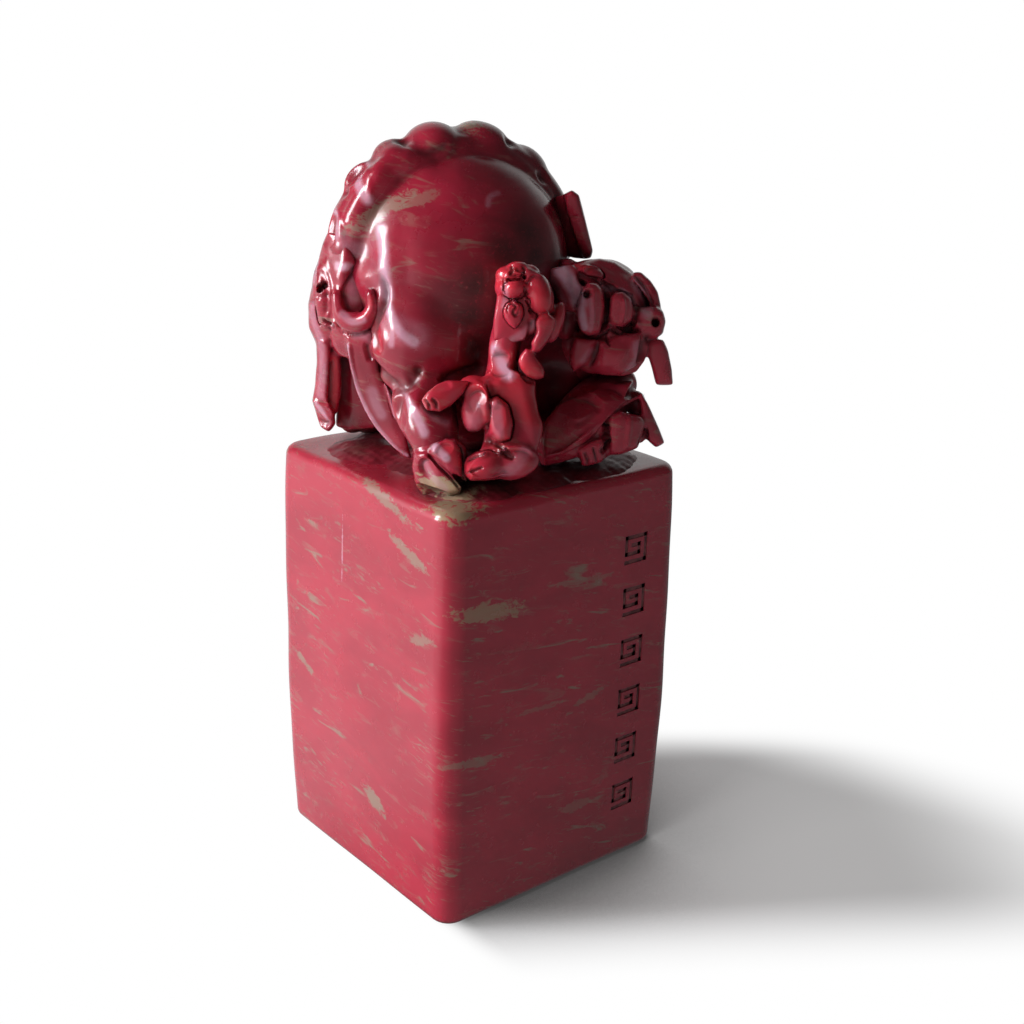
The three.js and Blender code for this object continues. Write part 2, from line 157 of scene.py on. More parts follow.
class Carving:
    """One piece of stone: shapes are fused into one skin, which strokes then cut, press, raise and shave."""

    def __init__(self, grain):
        self.shapes = bmesh.new()
        self.grain = grain
        self.plates = []

    def ball(self, centre, radii, turn=None):
        radii = radii if isinstance(radii, tuple) else (radii,) * 3
        turn = turn.to_4x4() if turn else Matrix.Identity(4)
        place = Matrix.Translation(centre) @ turn @ Matrix.Diagonal((*radii, 1))
        sides = BIG_BALL_SIDES if max(radii) > BIG_BALL else BALL_SIDES
        bmesh.ops.create_uvsphere(self.shapes, u_segments=sides, v_segments=sides // 2 + 3, radius=1, matrix=place)

    def lump(self, across, down, near, wide, tall, deep, roll=0):
        """An oval seen in the view: half sizes in picture points, half depth in millimetres."""
        turn = VIEW_TURNED @ Matrix.Rotation(math.radians(roll), 3, "Z")
        self.ball(sight(across, down, near), (wide / SIGHT_SCALE, tall / SIGHT_SCALE, deep), turn)

    def limb(self, rows, thick=None, facing=None):
        """A round-ended rod through rows of x, y, z and half width; thick is its half depth along facing."""
        line = smooth_path(rows, ROD_SPANS)
        facing = Vector(facing) if facing else -AHEAD
        last = len(line) - 1
        rings = []
        for i, row in enumerate(line):
            centre, width = Vector(row[:3]), max(float(row[3]), THINNEST_ROD)
            tangent = (Vector(line[min(i + 1, last)][:3]) - Vector(line[max(i - 1, 0)][:3])).normalized()
            front = (facing - facing.dot(tangent) * tangent).normalized()
            depth = width if thick is None else thick * min(1, THIN_END + width)
            rings.append((centre, front.cross(tangent), front, tangent, width, depth))
        places = [cap_matrix(rings[0], -1, angle) for angle in CAP_ANGLES]
        places += [ring_matrix(*ring) for ring in rings]
        places += [cap_matrix(rings[-1], 1, angle) for angle in reversed(CAP_ANGLES)]
        start = bmesh.ops.create_circle(self.shapes, cap_ends=True, segments=ROD_SIDES, radius=1, matrix=places[0])
        face = start["verts"][0].link_faces[0]
        for before, after in zip(places, places[1:]):
            out = bmesh.ops.extrude_face_region(self.shapes, geom=[face])["geom"]
            face = next(item for item in out if isinstance(item, bmesh.types.BMFace))
            bmesh.ops.transform(self.shapes, matrix=after @ before.inverted(), verts=face.verts)

    def band(self, rows, thick=None):
        """A limb through sights: rows of across, down, near and half width in picture points."""
        self.limb([(*sight(*row[:3]), row[3] / SIGHT_SCALE) for row in rows], thick)

    def slab(self, outline, deep, rim, swell):
        """A plate seen in the view: rows of across, down, near round its front, which rounds up over its rim (mm)."""
        self.plates.append((np.array(outline, float), rim, swell))
        corners = [bmesh.ops.create_vert(self.shapes, co=sight(*row))["vert"][0] for row in outline]
        front = bmesh.ops.contextual_create(self.shapes, geom=corners)["faces"][0]
        front.normal_update()
        if front.normal.dot(AHEAD) > 0:
            front.normal_flip()
        out = bmesh.ops.extrude_face_region(self.shapes, geom=[front], use_keep_orig=True)["geom"]
        for item in out:
            if isinstance(item, bmesh.types.BMVert):
                item.co += (item.co - EYE).normalized() * deep

    def fuse(self, rounds):
        """Makes one skin of the shapes, smoothed over the given rounds."""
        bmesh.ops.recalc_face_normals(self.shapes, faces=self.shapes.faces)
        rough = bpy.data.meshes.new("rough")
        self.shapes.to_mesh(rough)
        self.shapes.free()
        blank = bpy.data.objects.new("blank", rough)
        bpy.context.scene.collection.objects.link(blank)
        fusing = blank.modifiers.new("fuse", "REMESH")
        fusing.mode = "VOXEL"
        fusing.voxel_size = self.grain
        graph = bpy.context.evaluated_depsgraph_get()
        self.mesh = bpy.data.meshes.new_from_object(blank.evaluated_get(graph))
        bpy.data.objects.remove(blank)
        bpy.data.meshes.remove(rough)
        count = len(self.mesh.vertices)
        flat = np.empty(count * 3, np.float32)
        self.mesh.vertices.foreach_get("co", flat)
        self.at = flat.reshape(-1, 3).astype(float)
        ends = np.empty(len(self.mesh.edges) * 2, np.int32)
        self.mesh.edges.foreach_get("vertices", ends)
        self.ends = ends.reshape(-1, 2)
        self.links = np.bincount(self.ends.ravel(), minlength=count)[:, None]
        self.grime_and_shade, self.milk_and_highlight, self.ember = np.zeros(count), np.zeros(count), np.zeros(count)
        self.relax(ROUGH_ROUNDS)
        self.survey()
        for plate in self.plates:
            self.round_up(*plate)
        self.relax(rounds - ROUGH_ROUNDS)
        self.survey()

    def round_up(self, outline, rim, swell):
        """Swells the front of a plate from its outline inwards."""
        across, down, near = seen_at(self.at)
        low, high = outline[:, :2].min(0), outline[:, :2].max(0)
        plane = np.linalg.lstsq(np.c_[outline[:, :2], np.ones(len(outline))], outline[:, 2], rcond=None)[0]
        fitted = across * plane[0] + down * plane[1] + plane[2]
        close = (across > low[0]) & (across < high[0]) & (down > low[1]) & (down < high[1])
        close &= (abs(near - fitted) < PLATE_REACH) & (self.normal @ -np.array(AHEAD) > PLATE_FACING)
        index = np.nonzero(close)[0]
        x, y = across[index], down[index]
        inside, edge = np.zeros(len(index), bool), np.full(len(index), np.inf)
        for a, b in zip(outline[:, :2], np.roll(outline[:, :2], -1, 0)):
            way = b - a
            share = np.clip(((x - a[0]) * way[0] + (y - a[1]) * way[1]) / (way @ way + TINY), 0, 1)
            edge = np.minimum(edge, np.hypot(x - a[0] - share * way[0], y - a[1] - share * way[1]))
            crosses = (a[1] > y) != (b[1] > y)
            if way[1]:
                inside ^= crosses & (x < a[0] + (y - a[1]) * way[0] / way[1])
        inward = np.clip(edge / SIGHT_SCALE / rim, 0, 1) * inside
        self.at[index] -= np.array(AHEAD) * (swell * np.sqrt(1 - (1 - inward) ** 2))[:, None]

    def averaged(self, at):
        """For each point the mean of its neighbours."""
        a, b = self.ends.T
        total = [np.bincount(a, at[b, k], len(at)) + np.bincount(b, at[a, k], len(at)) for k in range(at.shape[1])]
        return np.stack(total, 1) / self.links

    def relax(self, rounds):
        """Moves each point half way to the mean of its neighbours."""
        for _ in range(rounds):
            self.at += (self.averaged(self.at) - self.at) / 2

    def survey(self):
        """Takes the skin's normals, and a tree to find places on it."""
        self.mesh.vertices.foreach_set("co", self.at.astype(np.float32).ravel())
        self.mesh.update()
        flat = np.empty(self.at.size, np.float32)
        self.mesh.vertices.foreach_get("normal", flat)
        self.normal = flat.reshape(-1, 3).astype(float)
        faces = [tuple(face.vertices) for face in self.mesh.polygons]
        self.tree = BVHTree.FromPolygons([tuple(p) for p in self.at], faces)

    def found(self, mark):
        """The place and normal on the skin of a mark: a sight (two numbers) or a place in millimetres (three)."""
        if len(mark) == 2:
            line = sight_line(*mark)
            place, normal, _, _ = self.tree.ray_cast(EYE, line)
            if place is None:
                middle = Vector(self.at.mean(0))
                place, normal, _, _ = self.tree.find_nearest(EYE + line * (middle - EYE).dot(line))
        else:
            place, normal, _, _ = self.tree.find_nearest(Vector(mark))
        return np.array(place), np.array(normal)

    def trail(self, marks):
        """Many places and normals along a line of marks, and each one's share of the way."""
        rows = smooth_path(marks, STROKE_SPANS)
        step = SIGHT_STEP if len(marks[0]) == 2 else PLACE_STEP
        dense = [rows[0]]
        for a, b in zip(rows, rows[1:]):
            parts = max(1, int(np.linalg.norm(b - a) / step))
            dense += [a + (b - a) * (k + 1) / parts for k in range(parts)]
        hits = [self.found(tuple(mark)) for mark in dense]
        return np.array([h[0] for h in hits]), np.array([h[1] for h in hits]), np.linspace(0, 1, len(hits))

    def near(self, places, reach):
        """Which of the skin's points may lie in reach of places, the place nearest to each, and how far off it is."""
        low, high = places.min(0) - reach, places.max(0) + reach
        index = np.nonzero(np.all((self.at > low) & (self.at < high), axis=1))[0]
        apart = ((self.at[index][:, None] - places[None]) ** 2).sum(2)
        nearest = apart.argmin(1)
        return index, nearest, np.sqrt(apart[np.arange(len(index)), nearest])

    def touched(self, places, normals, reach, facing):
        """Which points a stroke touches, the place nearest to each, and its share: 1 at the place, 0 out of reach.

        Points that face another way than their place, by less than the given cosine, have no share.
        """
        index, nearest, apart = self.near(places, reach)
        alike = (self.normal[index] * normals[nearest]).sum(1) > facing
        return index, nearest, np.clip(1 - apart / reach, 0, 1) * alike

    def cut(self, marks, width, depth, dirt_and_shade=1.0, crisp=False, fade=0.15):
        """A groove along marks (a ridge where depth is negative), darkened by dirt and painted shade. Width is half
        its own; a crisp one is sharp.
        """
        places, normals, share = self.trail(marks)
        index, nearest, close = self.touched(places, normals, width, facing=-0.1)
        profile = close**1.3 if crisp else eased(close)
        taper = np.clip(np.minimum(share, 1 - share) / fade, 0, 1)[nearest]
        self.at[index] -= normals[nearest] * (depth * profile * taper)[:, None]
        if depth > 0:
            self.grime_and_shade[index] = np.maximum(self.grime_and_shade[index], dirt_and_shade * np.clip(close * 1.5 - 0.1, 0, 1) * taper)

    def press(self, mark, reach, depth, dirt_and_shade=0.0):
        """A round hollow at a mark (a swelling where depth is negative), with the given amount of dirt and painted
        shade.
        """
        place, normal = self.found(mark)
        index, _, close = self.touched(place[None], normal[None], reach, facing=-0.2)
        profile = eased(close)
        self.at[index] -= normal * (depth * profile)[:, None]
        self.grime_and_shade[index] = np.maximum(self.grime_and_shade[index], dirt_and_shade * profile)

    def soil(self, *spots):
        """Painted shade and dirt in rounds of mark, reach and amount."""
        for mark, reach, dirt_and_shade in spots:
            self.press(mark, reach, 0.0, dirt_and_shade)

    def bore(self, mark, radius, depth):
        """A drilled hole at a mark, along the line of sight, darkened inside by painted shade and dirt."""
        place, normal = self.found(mark)
        line = np.array(AHEAD)
        index, _, _ = self.near(place[None], radius * 2.2)
        offset = self.at[index] - place
        side = np.linalg.norm(offset - (offset @ line)[:, None] * line, axis=1)
        inside = np.clip((radius * 1.25 - side) / (radius * 0.5), 0, 1) * ((self.normal[index] @ normal) > 0)
        self.at[index] += line * (depth * inside)[:, None]
        self.grime_and_shade[index] = np.maximum(self.grime_and_shade[index], np.clip((radius * 1.5 - side) / (radius * 0.4), 0, 1))

    def shave(self, mark, reach, depth, tilt):
        """A flat facet at a mark, its plane turned in the view by tilt (degrees to the right, degrees up)."""
        place, normal = self.found(mark)
        index, _, apart = self.near(place[None], reach)
        front = self.normal[index] @ normal > 0.2
        index, apart = index[front], apart[front]
        turn = Matrix.Rotation(math.radians(tilt[0]), 3, UP) @ Matrix.Rotation(math.radians(-tilt[1]), 3, RIGHT)
        normal = np.array(turn @ Vector(self.normal[index].mean(0)).normalized())
        above = (self.at[index] - (place - normal * depth)) @ normal
        soft = np.clip((reach - apart) / (reach * 0.3), 0, 1)
        self.at[index] -= normal * (np.clip(above, 0, None) * soft)[:, None]

    def paint(self, marks, width, milk_and_highlight=0.0, ember=0.0):
        """Colours the stone along marks, milky lilac (mostly painted highlights and reflections) or bright red, most
        along the middle.
        """
        places, normals, _ = self.trail(marks)
        index, _, close = self.touched(places, normals, width, facing=0)
        for layer, amount in ((self.milk_and_highlight, milk_and_highlight), (self.ember, ember)):
            layer[index] = np.maximum(layer[index], np.clip(eased(close) * amount * 1.4, 0, amount))

    def ripple(self, amount, feature, seed):
        """The uneven surface that hand filing and polishing leave."""
        dice = np.random.default_rng(seed)
        wave = np.zeros(len(self.at))
        for _ in range(WAVES):
            way = dice.normal(size=3)
            way *= 2 * math.pi / feature * dice.uniform(0.6, 1.5) / np.linalg.norm(way)
            wave += np.sin(self.at @ way + dice.uniform(0, 2 * math.pi))
        self.at += self.normal * (wave * amount / math.sqrt(WAVES))[:, None]

    def finish(self, name, material, nodes):
        """Adds dirt and painted shade in the hollows, and sets the piece out."""
        self.survey()
        soft = self.at
        for _ in range(HOLLOW_ROUNDS):
            soft = self.averaged(soft)
        hollow = ((soft - self.at) * self.normal).sum(1) / self.grain
        self.grime_and_shade = np.clip(np.maximum(self.grime_and_shade, np.clip(hollow * 1.3 - 0.25, 0, 0.8)), 0, 1)
        spread = self.grime_and_shade[:, None]
        for _ in range(SPREAD_ROUNDS):
            spread = self.averaged(spread)
        self.grime_and_shade = np.maximum(self.grime_and_shade * 0.8, spread[:, 0])
        self.mesh.vertices.foreach_set("co", (self.at * MM).astype(np.float32).ravel())
        for layer, values in (("grime_and_shade", self.grime_and_shade), ("milk_and_highlight", self.milk_and_highlight), ("ember", self.ember)):
            self.mesh.attributes.new(layer, "FLOAT", "POINT").data.foreach_set("value", values.astype(np.float32))
        self.mesh.name = name
        set_out(name, self.mesh, material, nodes)


def set_out(name, mesh, material, nodes=()):
    """Puts a finished mesh in the scene as a piece that rides on the part."""
    piece = bpy.data.objects.new(name, mesh)
    bpy.context.scene.collection.objects.link(piece)
    mesh.materials.clear()
    mesh.materials.append(material)
    mesh.shade_smooth()
    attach(piece, "root")
    if nodes:
        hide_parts(*nodes)


BEDDING = (4, 10, 0)  # turn of the stone's layers, degrees


class Graph:
    """Builds the nodes of a material, a light or the world: each call adds one, with its inputs by name."""

    def __init__(self, owner):
        owner.use_nodes = True
        self.tree = owner.node_tree
        self.tree.nodes.clear()

    def fill(self, socket, value):
        if isinstance(value, bpy.types.NodeSocket):
            self.tree.links.new(value, socket)
        else:
            socket.default_value = value

    def add(self, kind, inputs=None, **settings):
        node = self.tree.nodes.new("ShaderNode" + kind)
        for key, value in settings.items():
            setattr(node, key, value)
        for key, value in (inputs or {}).items():
            self.fill(node.inputs[key], value)
        return node

    def math(self, operation, a, b, clamp=False):
        return self.add("Math", {0: a, 1: b}, operation=operation, use_clamp=clamp).outputs[0]

    def times(self, a, b, clamp=False):
        return self.math("MULTIPLY", a, b, clamp)

    def plus(self, a, b):
        return self.math("ADD", a, b)

    def mix(self, share, a, b):
        node = self.add("Mix", {"Factor": share}, data_type="RGBA")
        self.fill(node.inputs[6], a)
        self.fill(node.inputs[7], b)
        return node.outputs[2]

    def ramp(self, value, low, high):
        """0 up to low, 1 from high, smooth between."""
        node = self.add("MapRange", {"Value": value, "From Min": low, "From Max": high},
                        interpolation_type="SMOOTHSTEP")
        return node.outputs["Result"]

    def stretched(self, sizes=(1, 1, 1), turn=(0, 0, 0), move=(0, 0, 0)):
        """Object coordinates measured in units of the given sizes (mm) along turned axes."""
        node = self.add("Mapping", {"Vector": self.add("TexCoord").outputs["Object"]}, vector_type="TEXTURE")
        node.inputs["Location"].default_value = [v * MM for v in move]
        node.inputs["Rotation"].default_value = [math.radians(a) for a in turn]
        node.inputs["Scale"].default_value = [v * MM for v in sizes]
        return node.outputs[0]

    def noise(self, sizes, move, detail, roughness=0.5, distortion=0.0, turn=BEDDING):
        """Blotches of the given sizes, in the stone's layers."""
        settings = {"Vector": self.stretched(sizes, turn, move), "Scale": 1.0, "Detail": detail}
        return self.add("TexNoise", settings | {"Roughness": roughness, "Distortion": distortion}).outputs["Fac"]

    def grains(self, size, detail, roughness):
        """Blotches as wide as they are high, on the object's own axes."""
        return self.noise((size, size, size), (0, 0, 0), detail, roughness, turn=(0, 0, 0))

    def layer(self, name):
        """The amounts that the carving left on a piece under this name."""
        return self.add("Attribute", attribute_name=name, attribute_type="GEOMETRY").outputs["Fac"]

    def occlusion(self, distance, samples):
        """1 in the open, less in corners within a distance in millimetres."""
        return self.add("AmbientOcclusion", {"Distance": distance * MM}, samples=samples).outputs["AO"]

    def end(self, shader, kind="OutputMaterial"):
        self.add(kind, {"Surface": shader.outputs[0]})


def colour(value):
    return (*value, 1.0)


# Veins that can be told one by one: middle, half sizes and turn in millimetres and degrees, strength, colour.
SHAFT_VEINS = [
    ((-19.0, -19.2, 62.6), (5.6, 4.6, 2.2), (0, 0, 45), 1.0, "ochre"),
    ((-14.6, -20.8, 47.2), (6.5, 1.6, 1.5), (0, 6, 0), 0.75, "ochre"),
    ((-17.0, -20.8, 25.6), (5.5, 1.6, 0.8), (0, 4, 0), 0.6, "taupe"),
    ((-20.8, -6.5, 60.2), (1.6, 7.0, 0.9), (14, 0, 0), 0.8, "taupe"),
    ((-20.8, -12.5, 54.3), (1.6, 5.5, 0.9), (18, 0, 0), 0.8, "taupe"),
    ((-20.8, -15.5, 43.0), (1.6, 3.2, 0.9), (-12, 0, 0), 0.7, "taupe"),
    ((-20.8, -4.0, 13.4), (1.6, 3.0, 1.4), (20, 0, 0), 0.9, "taupe"),
    ((-20.8, 14.0, 28.5), (1.6, 3.6, 0.7), (24, 0, 0), 0.8, "taupe"),
    ((2.0, -20.8, 48.0), (7.0, 1.6, 0.6), (0, 5, 0), 0.45, "taupe"),
    ((5.0, -20.8, 29.6), (3.6, 1.6, 0.7), (0, -14, 0), 0.5, "taupe"),
    ((-5.0, -20.8, 30.4), (5.0, 1.6, 0.5), (0, 2, 0), 0.4, "taupe"),
    ((3.0, -20.8, 12.0), (3.4, 1.6, 0.9), (0, 2, 0), 0.4, "taupe"),
    ((-20.9, 3.6, 50.0), (1.6, 0.16, 5.6), (2, 0, 0), 0.7, "milk_and_highlight"),
]
KNOB_VEINS = [
    ((-16.8, 0.6, 97.0), (1.8, 6.0, 1.5), (-30, 0, 41), 0.75, "taupe"),
    ((-13.8, -4.6, 99.4), (1.6, 3.0, 1.0), (-20, 0, 41), 0.45, "taupe"),
    ((-0.5, 2.0, 107.8), (5.0, 4.0, 2.6), (0, 0, 20), 0.9, "taupe"),
    ((-13.0, 5.8, 103.0), (1.6, 5.0, 0.8), (0, 0, 30), 0.7, "taupe"),
    ((-17.0, -14.5, 63.4), (5.2, 4.6, 1.9), (0, 0, 0), 1.0, "ochre"),
]


def streaks(g, main, deep, colours, dashes, patches):
    """The stone's own colour: deeper clouds, then rosy and grey streaks along its layers, broad to fine."""
    broad = g.noise((15, 15, 7), (0, 0, 0), 3, 0.55, 0.4)
    base = g.mix(g.ramp(broad, 0.36, 0.66), main, deep)
    taupe = colour(colours.taupe)
    rosy = g.noise((5.5, 5.5, 1.5), (3, 5, 1), 4, 0.6, 0.8)
    base = g.mix(g.times(g.ramp(rosy, 0.56, 0.72), 0.35 + 0.3 * dashes), base, g.mix(0.55, main, taupe))
    fine = g.noise((2.4, 2.4, 0.5), (7, 2, 4), 3, 0.6, 0.6, (BEDDING[0] + 4, BEDDING[1] + 3, 0))
    cluster = g.ramp(g.noise((9, 9, 6), (1, 9, 5), 2), 0.42, 0.62)
    dash = g.times(g.ramp(fine, 0.57, 0.71), cluster)
    base = g.mix(g.times(dash, dashes), base, g.mix(0.75, main, taupe))
    patch = g.noise((8.5, 8.5, 2.0), (4, 4, 8), 4, 0.55, 0.9)
    return g.mix(g.times(g.ramp(patch, 0.61, 0.71), patches), base, taupe)


def veined(g, base, veins, colours):
    """The veins that lie in known places, with ragged edges."""
    ragged = g.noise((1.5, 1.5, 0.8), (9, 1, 2), 5, 0.65, 0.9)
    for middle, sizes, turn, strength, tone in veins:
        away = g.add("VectorMath", {0: g.stretched(sizes, turn, middle)}, operation="LENGTH").outputs["Value"]
        edge = g.plus(away, g.times(ragged, 2.6))
        base = g.mix(g.times(g.ramp(edge, 2.35, 1.95), strength), base, colour(getattr(colours, tone)))
    return base


def painted(g, base, colours):
    """The milky lilac places, mostly painted highlights and reflections, and the bright red places that the carving
    was painted with.
    """
    cloudy = g.noise((1.6, 1.6, 1.0), (2, 6, 3), 4, 0.6, 0.4)
    for layer, tone in (("milk_and_highlight", colours.milk_and_highlight), ("ember", colours.scarlet)):
        uneven = g.times(g.layer(layer), g.plus(g.times(cloudy, 0.7), 0.65), clamp=True)
        base = g.mix(uneven, base, colour(tone))
    return base


def dirt_and_painted_shade(g, base, colours):
    """Dirt and painted shade in corners and hollows, darker where the surroundings are shut out, with pale dust in
    the deepest; also returns how dirty and shaded each place is.
    """
    shade = g.occlusion(3.5, samples=8)
    dirt_and_shade_amount = g.math("MAXIMUM", g.times(g.ramp(shade, 0.66, 0.2), 0.75), g.times(g.layer("grime_and_shade"), 0.95))
    dirt_and_shade_amount = g.times(dirt_and_shade_amount, g.ramp(g.grains(0.5, 3, 0.7), 0.2, 0.46), clamp=True)
    base = g.mix(g.times(dirt_and_shade_amount, 0.9), base, colour(colours.grime_and_shade))
    dust = g.times(g.ramp(g.grains(0.22, 2, 0.7), 0.66, 0.72), g.ramp(shade, 0.5, 0.2))
    return g.mix(g.times(dust, 0.5), base, colour(colours.dust)), dirt_and_shade_amount


def stone(name, main, deep, colours, veins=(), dashes=0.5, patches=0.6, gloss=0.2, roughened=0.0):
    """Polished streaked stone, with dirt and painted shade in its hollows and painted highlights where the carving
    marked them; gloss is its roughness where it is clean.
    """
    material = bpy.data.materials.get(name)
    if material:
        return material
    material = bpy.data.materials.new(name)
    g = Graph(material)
    base = streaks(g, colour(main), colour(deep), colours, dashes, patches)
    base = painted(g, veined(g, base, veins, colours), colours)
    base, dirt_and_shade_amount = dirt_and_painted_shade(g, base, colours)
    dull = g.plus(g.plus(g.times(dirt_and_shade_amount, 0.35), gloss), g.times(g.grains(3, 4, 0.6), 0.12))
    pits, waves = g.grains(0.35, 3, 0.65), g.noise((4.5, 4.5, 3.5), (0, 0, 0), 2, 0.4, turn=(0, 0, 0))
    height = g.plus(g.times(pits, 0.012 + 0.1 * roughened), g.times(waves, 0.10))
    height = g.math("SUBTRACT", height, g.times(dirt_and_shade_amount, 0.03))
    bump = g.add("Bump", {"Height": height, "Distance": MM, "Strength": 0.6}).outputs[0]
    polish = 1 - roughened
    shader = g.add("BsdfPrincipled", {
        "Base Color": base, "Roughness": dull, "Normal": bump, "IOR": 1.54,
        "Subsurface Weight": 0.2 * polish, "Subsurface Radius": (1.0, 0.1, 0.2), "Subsurface Scale": 4 * MM,
        "Coat Weight": 0.5 * polish, "Coat Roughness": 0.12, "Coat IOR": 1.5,
    })
    if not roughened:
        g.fill(shader.inputs["Coat Normal"], bump)
    g.end(shader)
    return material


def red_stone(colours):
    return stone("streaked_red_stone", colours.ruby, colours.garnet, colours, KNOB_VEINS, dashes=0.45, patches=0.55)


def head_stone(colours):
    return stone("ruddy_head_stone", colours.crimson, colours.ruby, colours, KNOB_VEINS, gloss=0.22)


def shaft_stone(colours):
    return stone("shaft_red_stone", colours.crimson, colours.wine, colours, SHAFT_VEINS, dashes=0.75, patches=0.8)


def bright_stone(colours):
    return stone("bright_red_stone", colours.scarlet, colours.crimson, colours, dashes=0.15, patches=0.1, gloss=0.1)


def dark_stone(colours):
    return stone("rough_dark_stone", colours.garnet, colours.soil, colours, KNOB_VEINS[-1:],
                 dashes=0.3, patches=0.2, gloss=0.5, roughened=0.6)


def length(name, description, default):
    return bpy.props.FloatProperty(name=name, description=description, default=default, unit="LENGTH", precision=5)


class SealSizes(bpy.types.PropertyGroup):
    """Sizes of the shaft and its frets"""

    shaft_width: length("Shaft width", "Width of the square shaft at its top", 0.0419)
    shaft_height: length("Shaft height", "From the printing face to the knob", 0.0619)
    shaft_taper: length("Taper", "How much narrower the foot is than the top", 0.0004)
    shaft_belly: length("Belly", "How far each side swells at mid height", 0.0005)
    corner_radius: length("Corner radius", "Rounding of the four upright edges", 0.0030)
    edge_radius: length("Top edge radius", "Rounding of the shaft's top edges", 0.0014)
    foot_radius: length("Foot edge radius", "Rounding of the shaft's bottom edges", 0.0012)
    fret_line: length("Fret line", "Width of one line of the side frets", 0.00062)
    fret_depth: length("Fret depth", "Depth of the side frets", 0.00045)
    fret_count: bpy.props.IntProperty(
        name="Frets", description="Number of frets down the side", default=6, min=1, max=6)
    polish_wave: length("Polish wave", "Unevenness that hand polishing leaves", 0.00003)


def tint(name, description, default):
    return bpy.props.FloatVectorProperty(
        name=name, description=description, default=default, subtype="COLOR", size=3, min=0, max=1)


class SealColours(bpy.types.PropertyGroup):
    """Colours of the stone, its dirt and painted shade, its painted highlights and the ink"""

    crimson: tint("Crimson", "Main colour of the stone", (0.50, 0.032, 0.062))
    wine: tint("Wine", "Deeper parts of the stone", (0.42, 0.027, 0.052))
    ruby: tint("Ruby", "Main colour of the knob's stone", (0.41, 0.017, 0.044))
    garnet: tint("Garnet", "Deeper parts of the knob's stone", (0.27, 0.012, 0.029))
    scarlet: tint("Scarlet", "Brighter stone of the cub", (0.62, 0.030, 0.052))
    taupe: tint("Taupe", "Grey veins and patches", (0.33, 0.22, 0.165))
    # milky lilac: painted highlights and reflections on the knob, and a pale vein on the shaft
    milk_and_highlight: tint("Milk", "Milky lilac bands in the stone", (0.66, 0.36, 0.46))
    ochre: tint("Ochre", "Yellowish stone at one corner", (0.42, 0.29, 0.18))
    soil: tint("Soil", "Darker parts of the ground under the knob", (0.10, 0.012, 0.016))
    # grime: dirt and painted shade in the carved hollows, creases and holes
    grime_and_shade: tint("Grime", "Dirt in the carved hollows", (0.016, 0.010, 0.008))
    dust: tint("Dust", "Pale specks in the seams", (0.45, 0.38, 0.34))
    ink: tint("Ink", "Old ink in the side frets", (0.13, 0.040, 0.042))


# A fret is a square spiral on a grid of seven by seven lines.
FRET_TURNS = [(0, 0), (6, 0), (6, 6), (0, 6), (0, 2), (4, 2), (4, 4), (2, 4)]
FRET_GRID = 7
FRET_TOP, FRET_PITCH, FRET_OFFSET = 50.5, 7.95, 12.5  # middles in millimetres: height, spacing, x
FACE_LINE, FACE_CROSS, FACE_DEPTH = 2.4, 1.4, 0.9  # the printing face: a fret's line, half the cross between, depth
INK_LEVEL, INK_ROOT = 0.12, 0.2  # how far the ink lies under the stone's face, and reaches past the fret's floor
CORNER_PARTS, RIM_PARTS = 8, 6  # faces across a rounded edge
SHAFT_STEP = 1.3  # spacing of the cuts that let the block's sides swell
CLEAR = 0.1  # how far those cuts stay from the rounded edges
WAVY_TOP = 0.9  # share of the height above which the top's own waves lie
SHARP_ANGLE = 38  # degrees from which an edge is shaded sharp


def fret_bars(line):
    for a, b in zip(FRET_TURNS, FRET_TURNS[1:]):
        low = [min(a[k], b[k]) * line for k in (0, 1)]
        high = [(max(a[k], b[k]) + 1) * line for k in (0, 1)]
        yield low, high


def side_frets(sizes):
    """The bars of the side frets in millimetres: height of the fret's middle, lowest and highest x and z."""
    line = sizes.fret_line / MM
    for i in range(sizes.fret_count):
        middle = FRET_TOP - i * FRET_PITCH
        left, foot = FRET_OFFSET - FRET_GRID * line / 2, middle - FRET_GRID * line / 2
        for low, high in fret_bars(line):
            yield middle, (left + low[0], foot + low[1]), (left + high[0], foot + high[1])


def add_box(shapes, low, high):
    low, high = Vector(low), Vector(high)
    place = Matrix.Translation((low + high) / 2) @ Matrix.Diagonal((*(high - low), 1))
    bmesh.ops.create_cube(shapes, size=1, matrix=place)


def round_edges(block, edges, radius, parts):
    bmesh.ops.bevel(block, geom=edges, offset=radius, segments=parts, profile=0.5, affect="EDGES", material=-1)


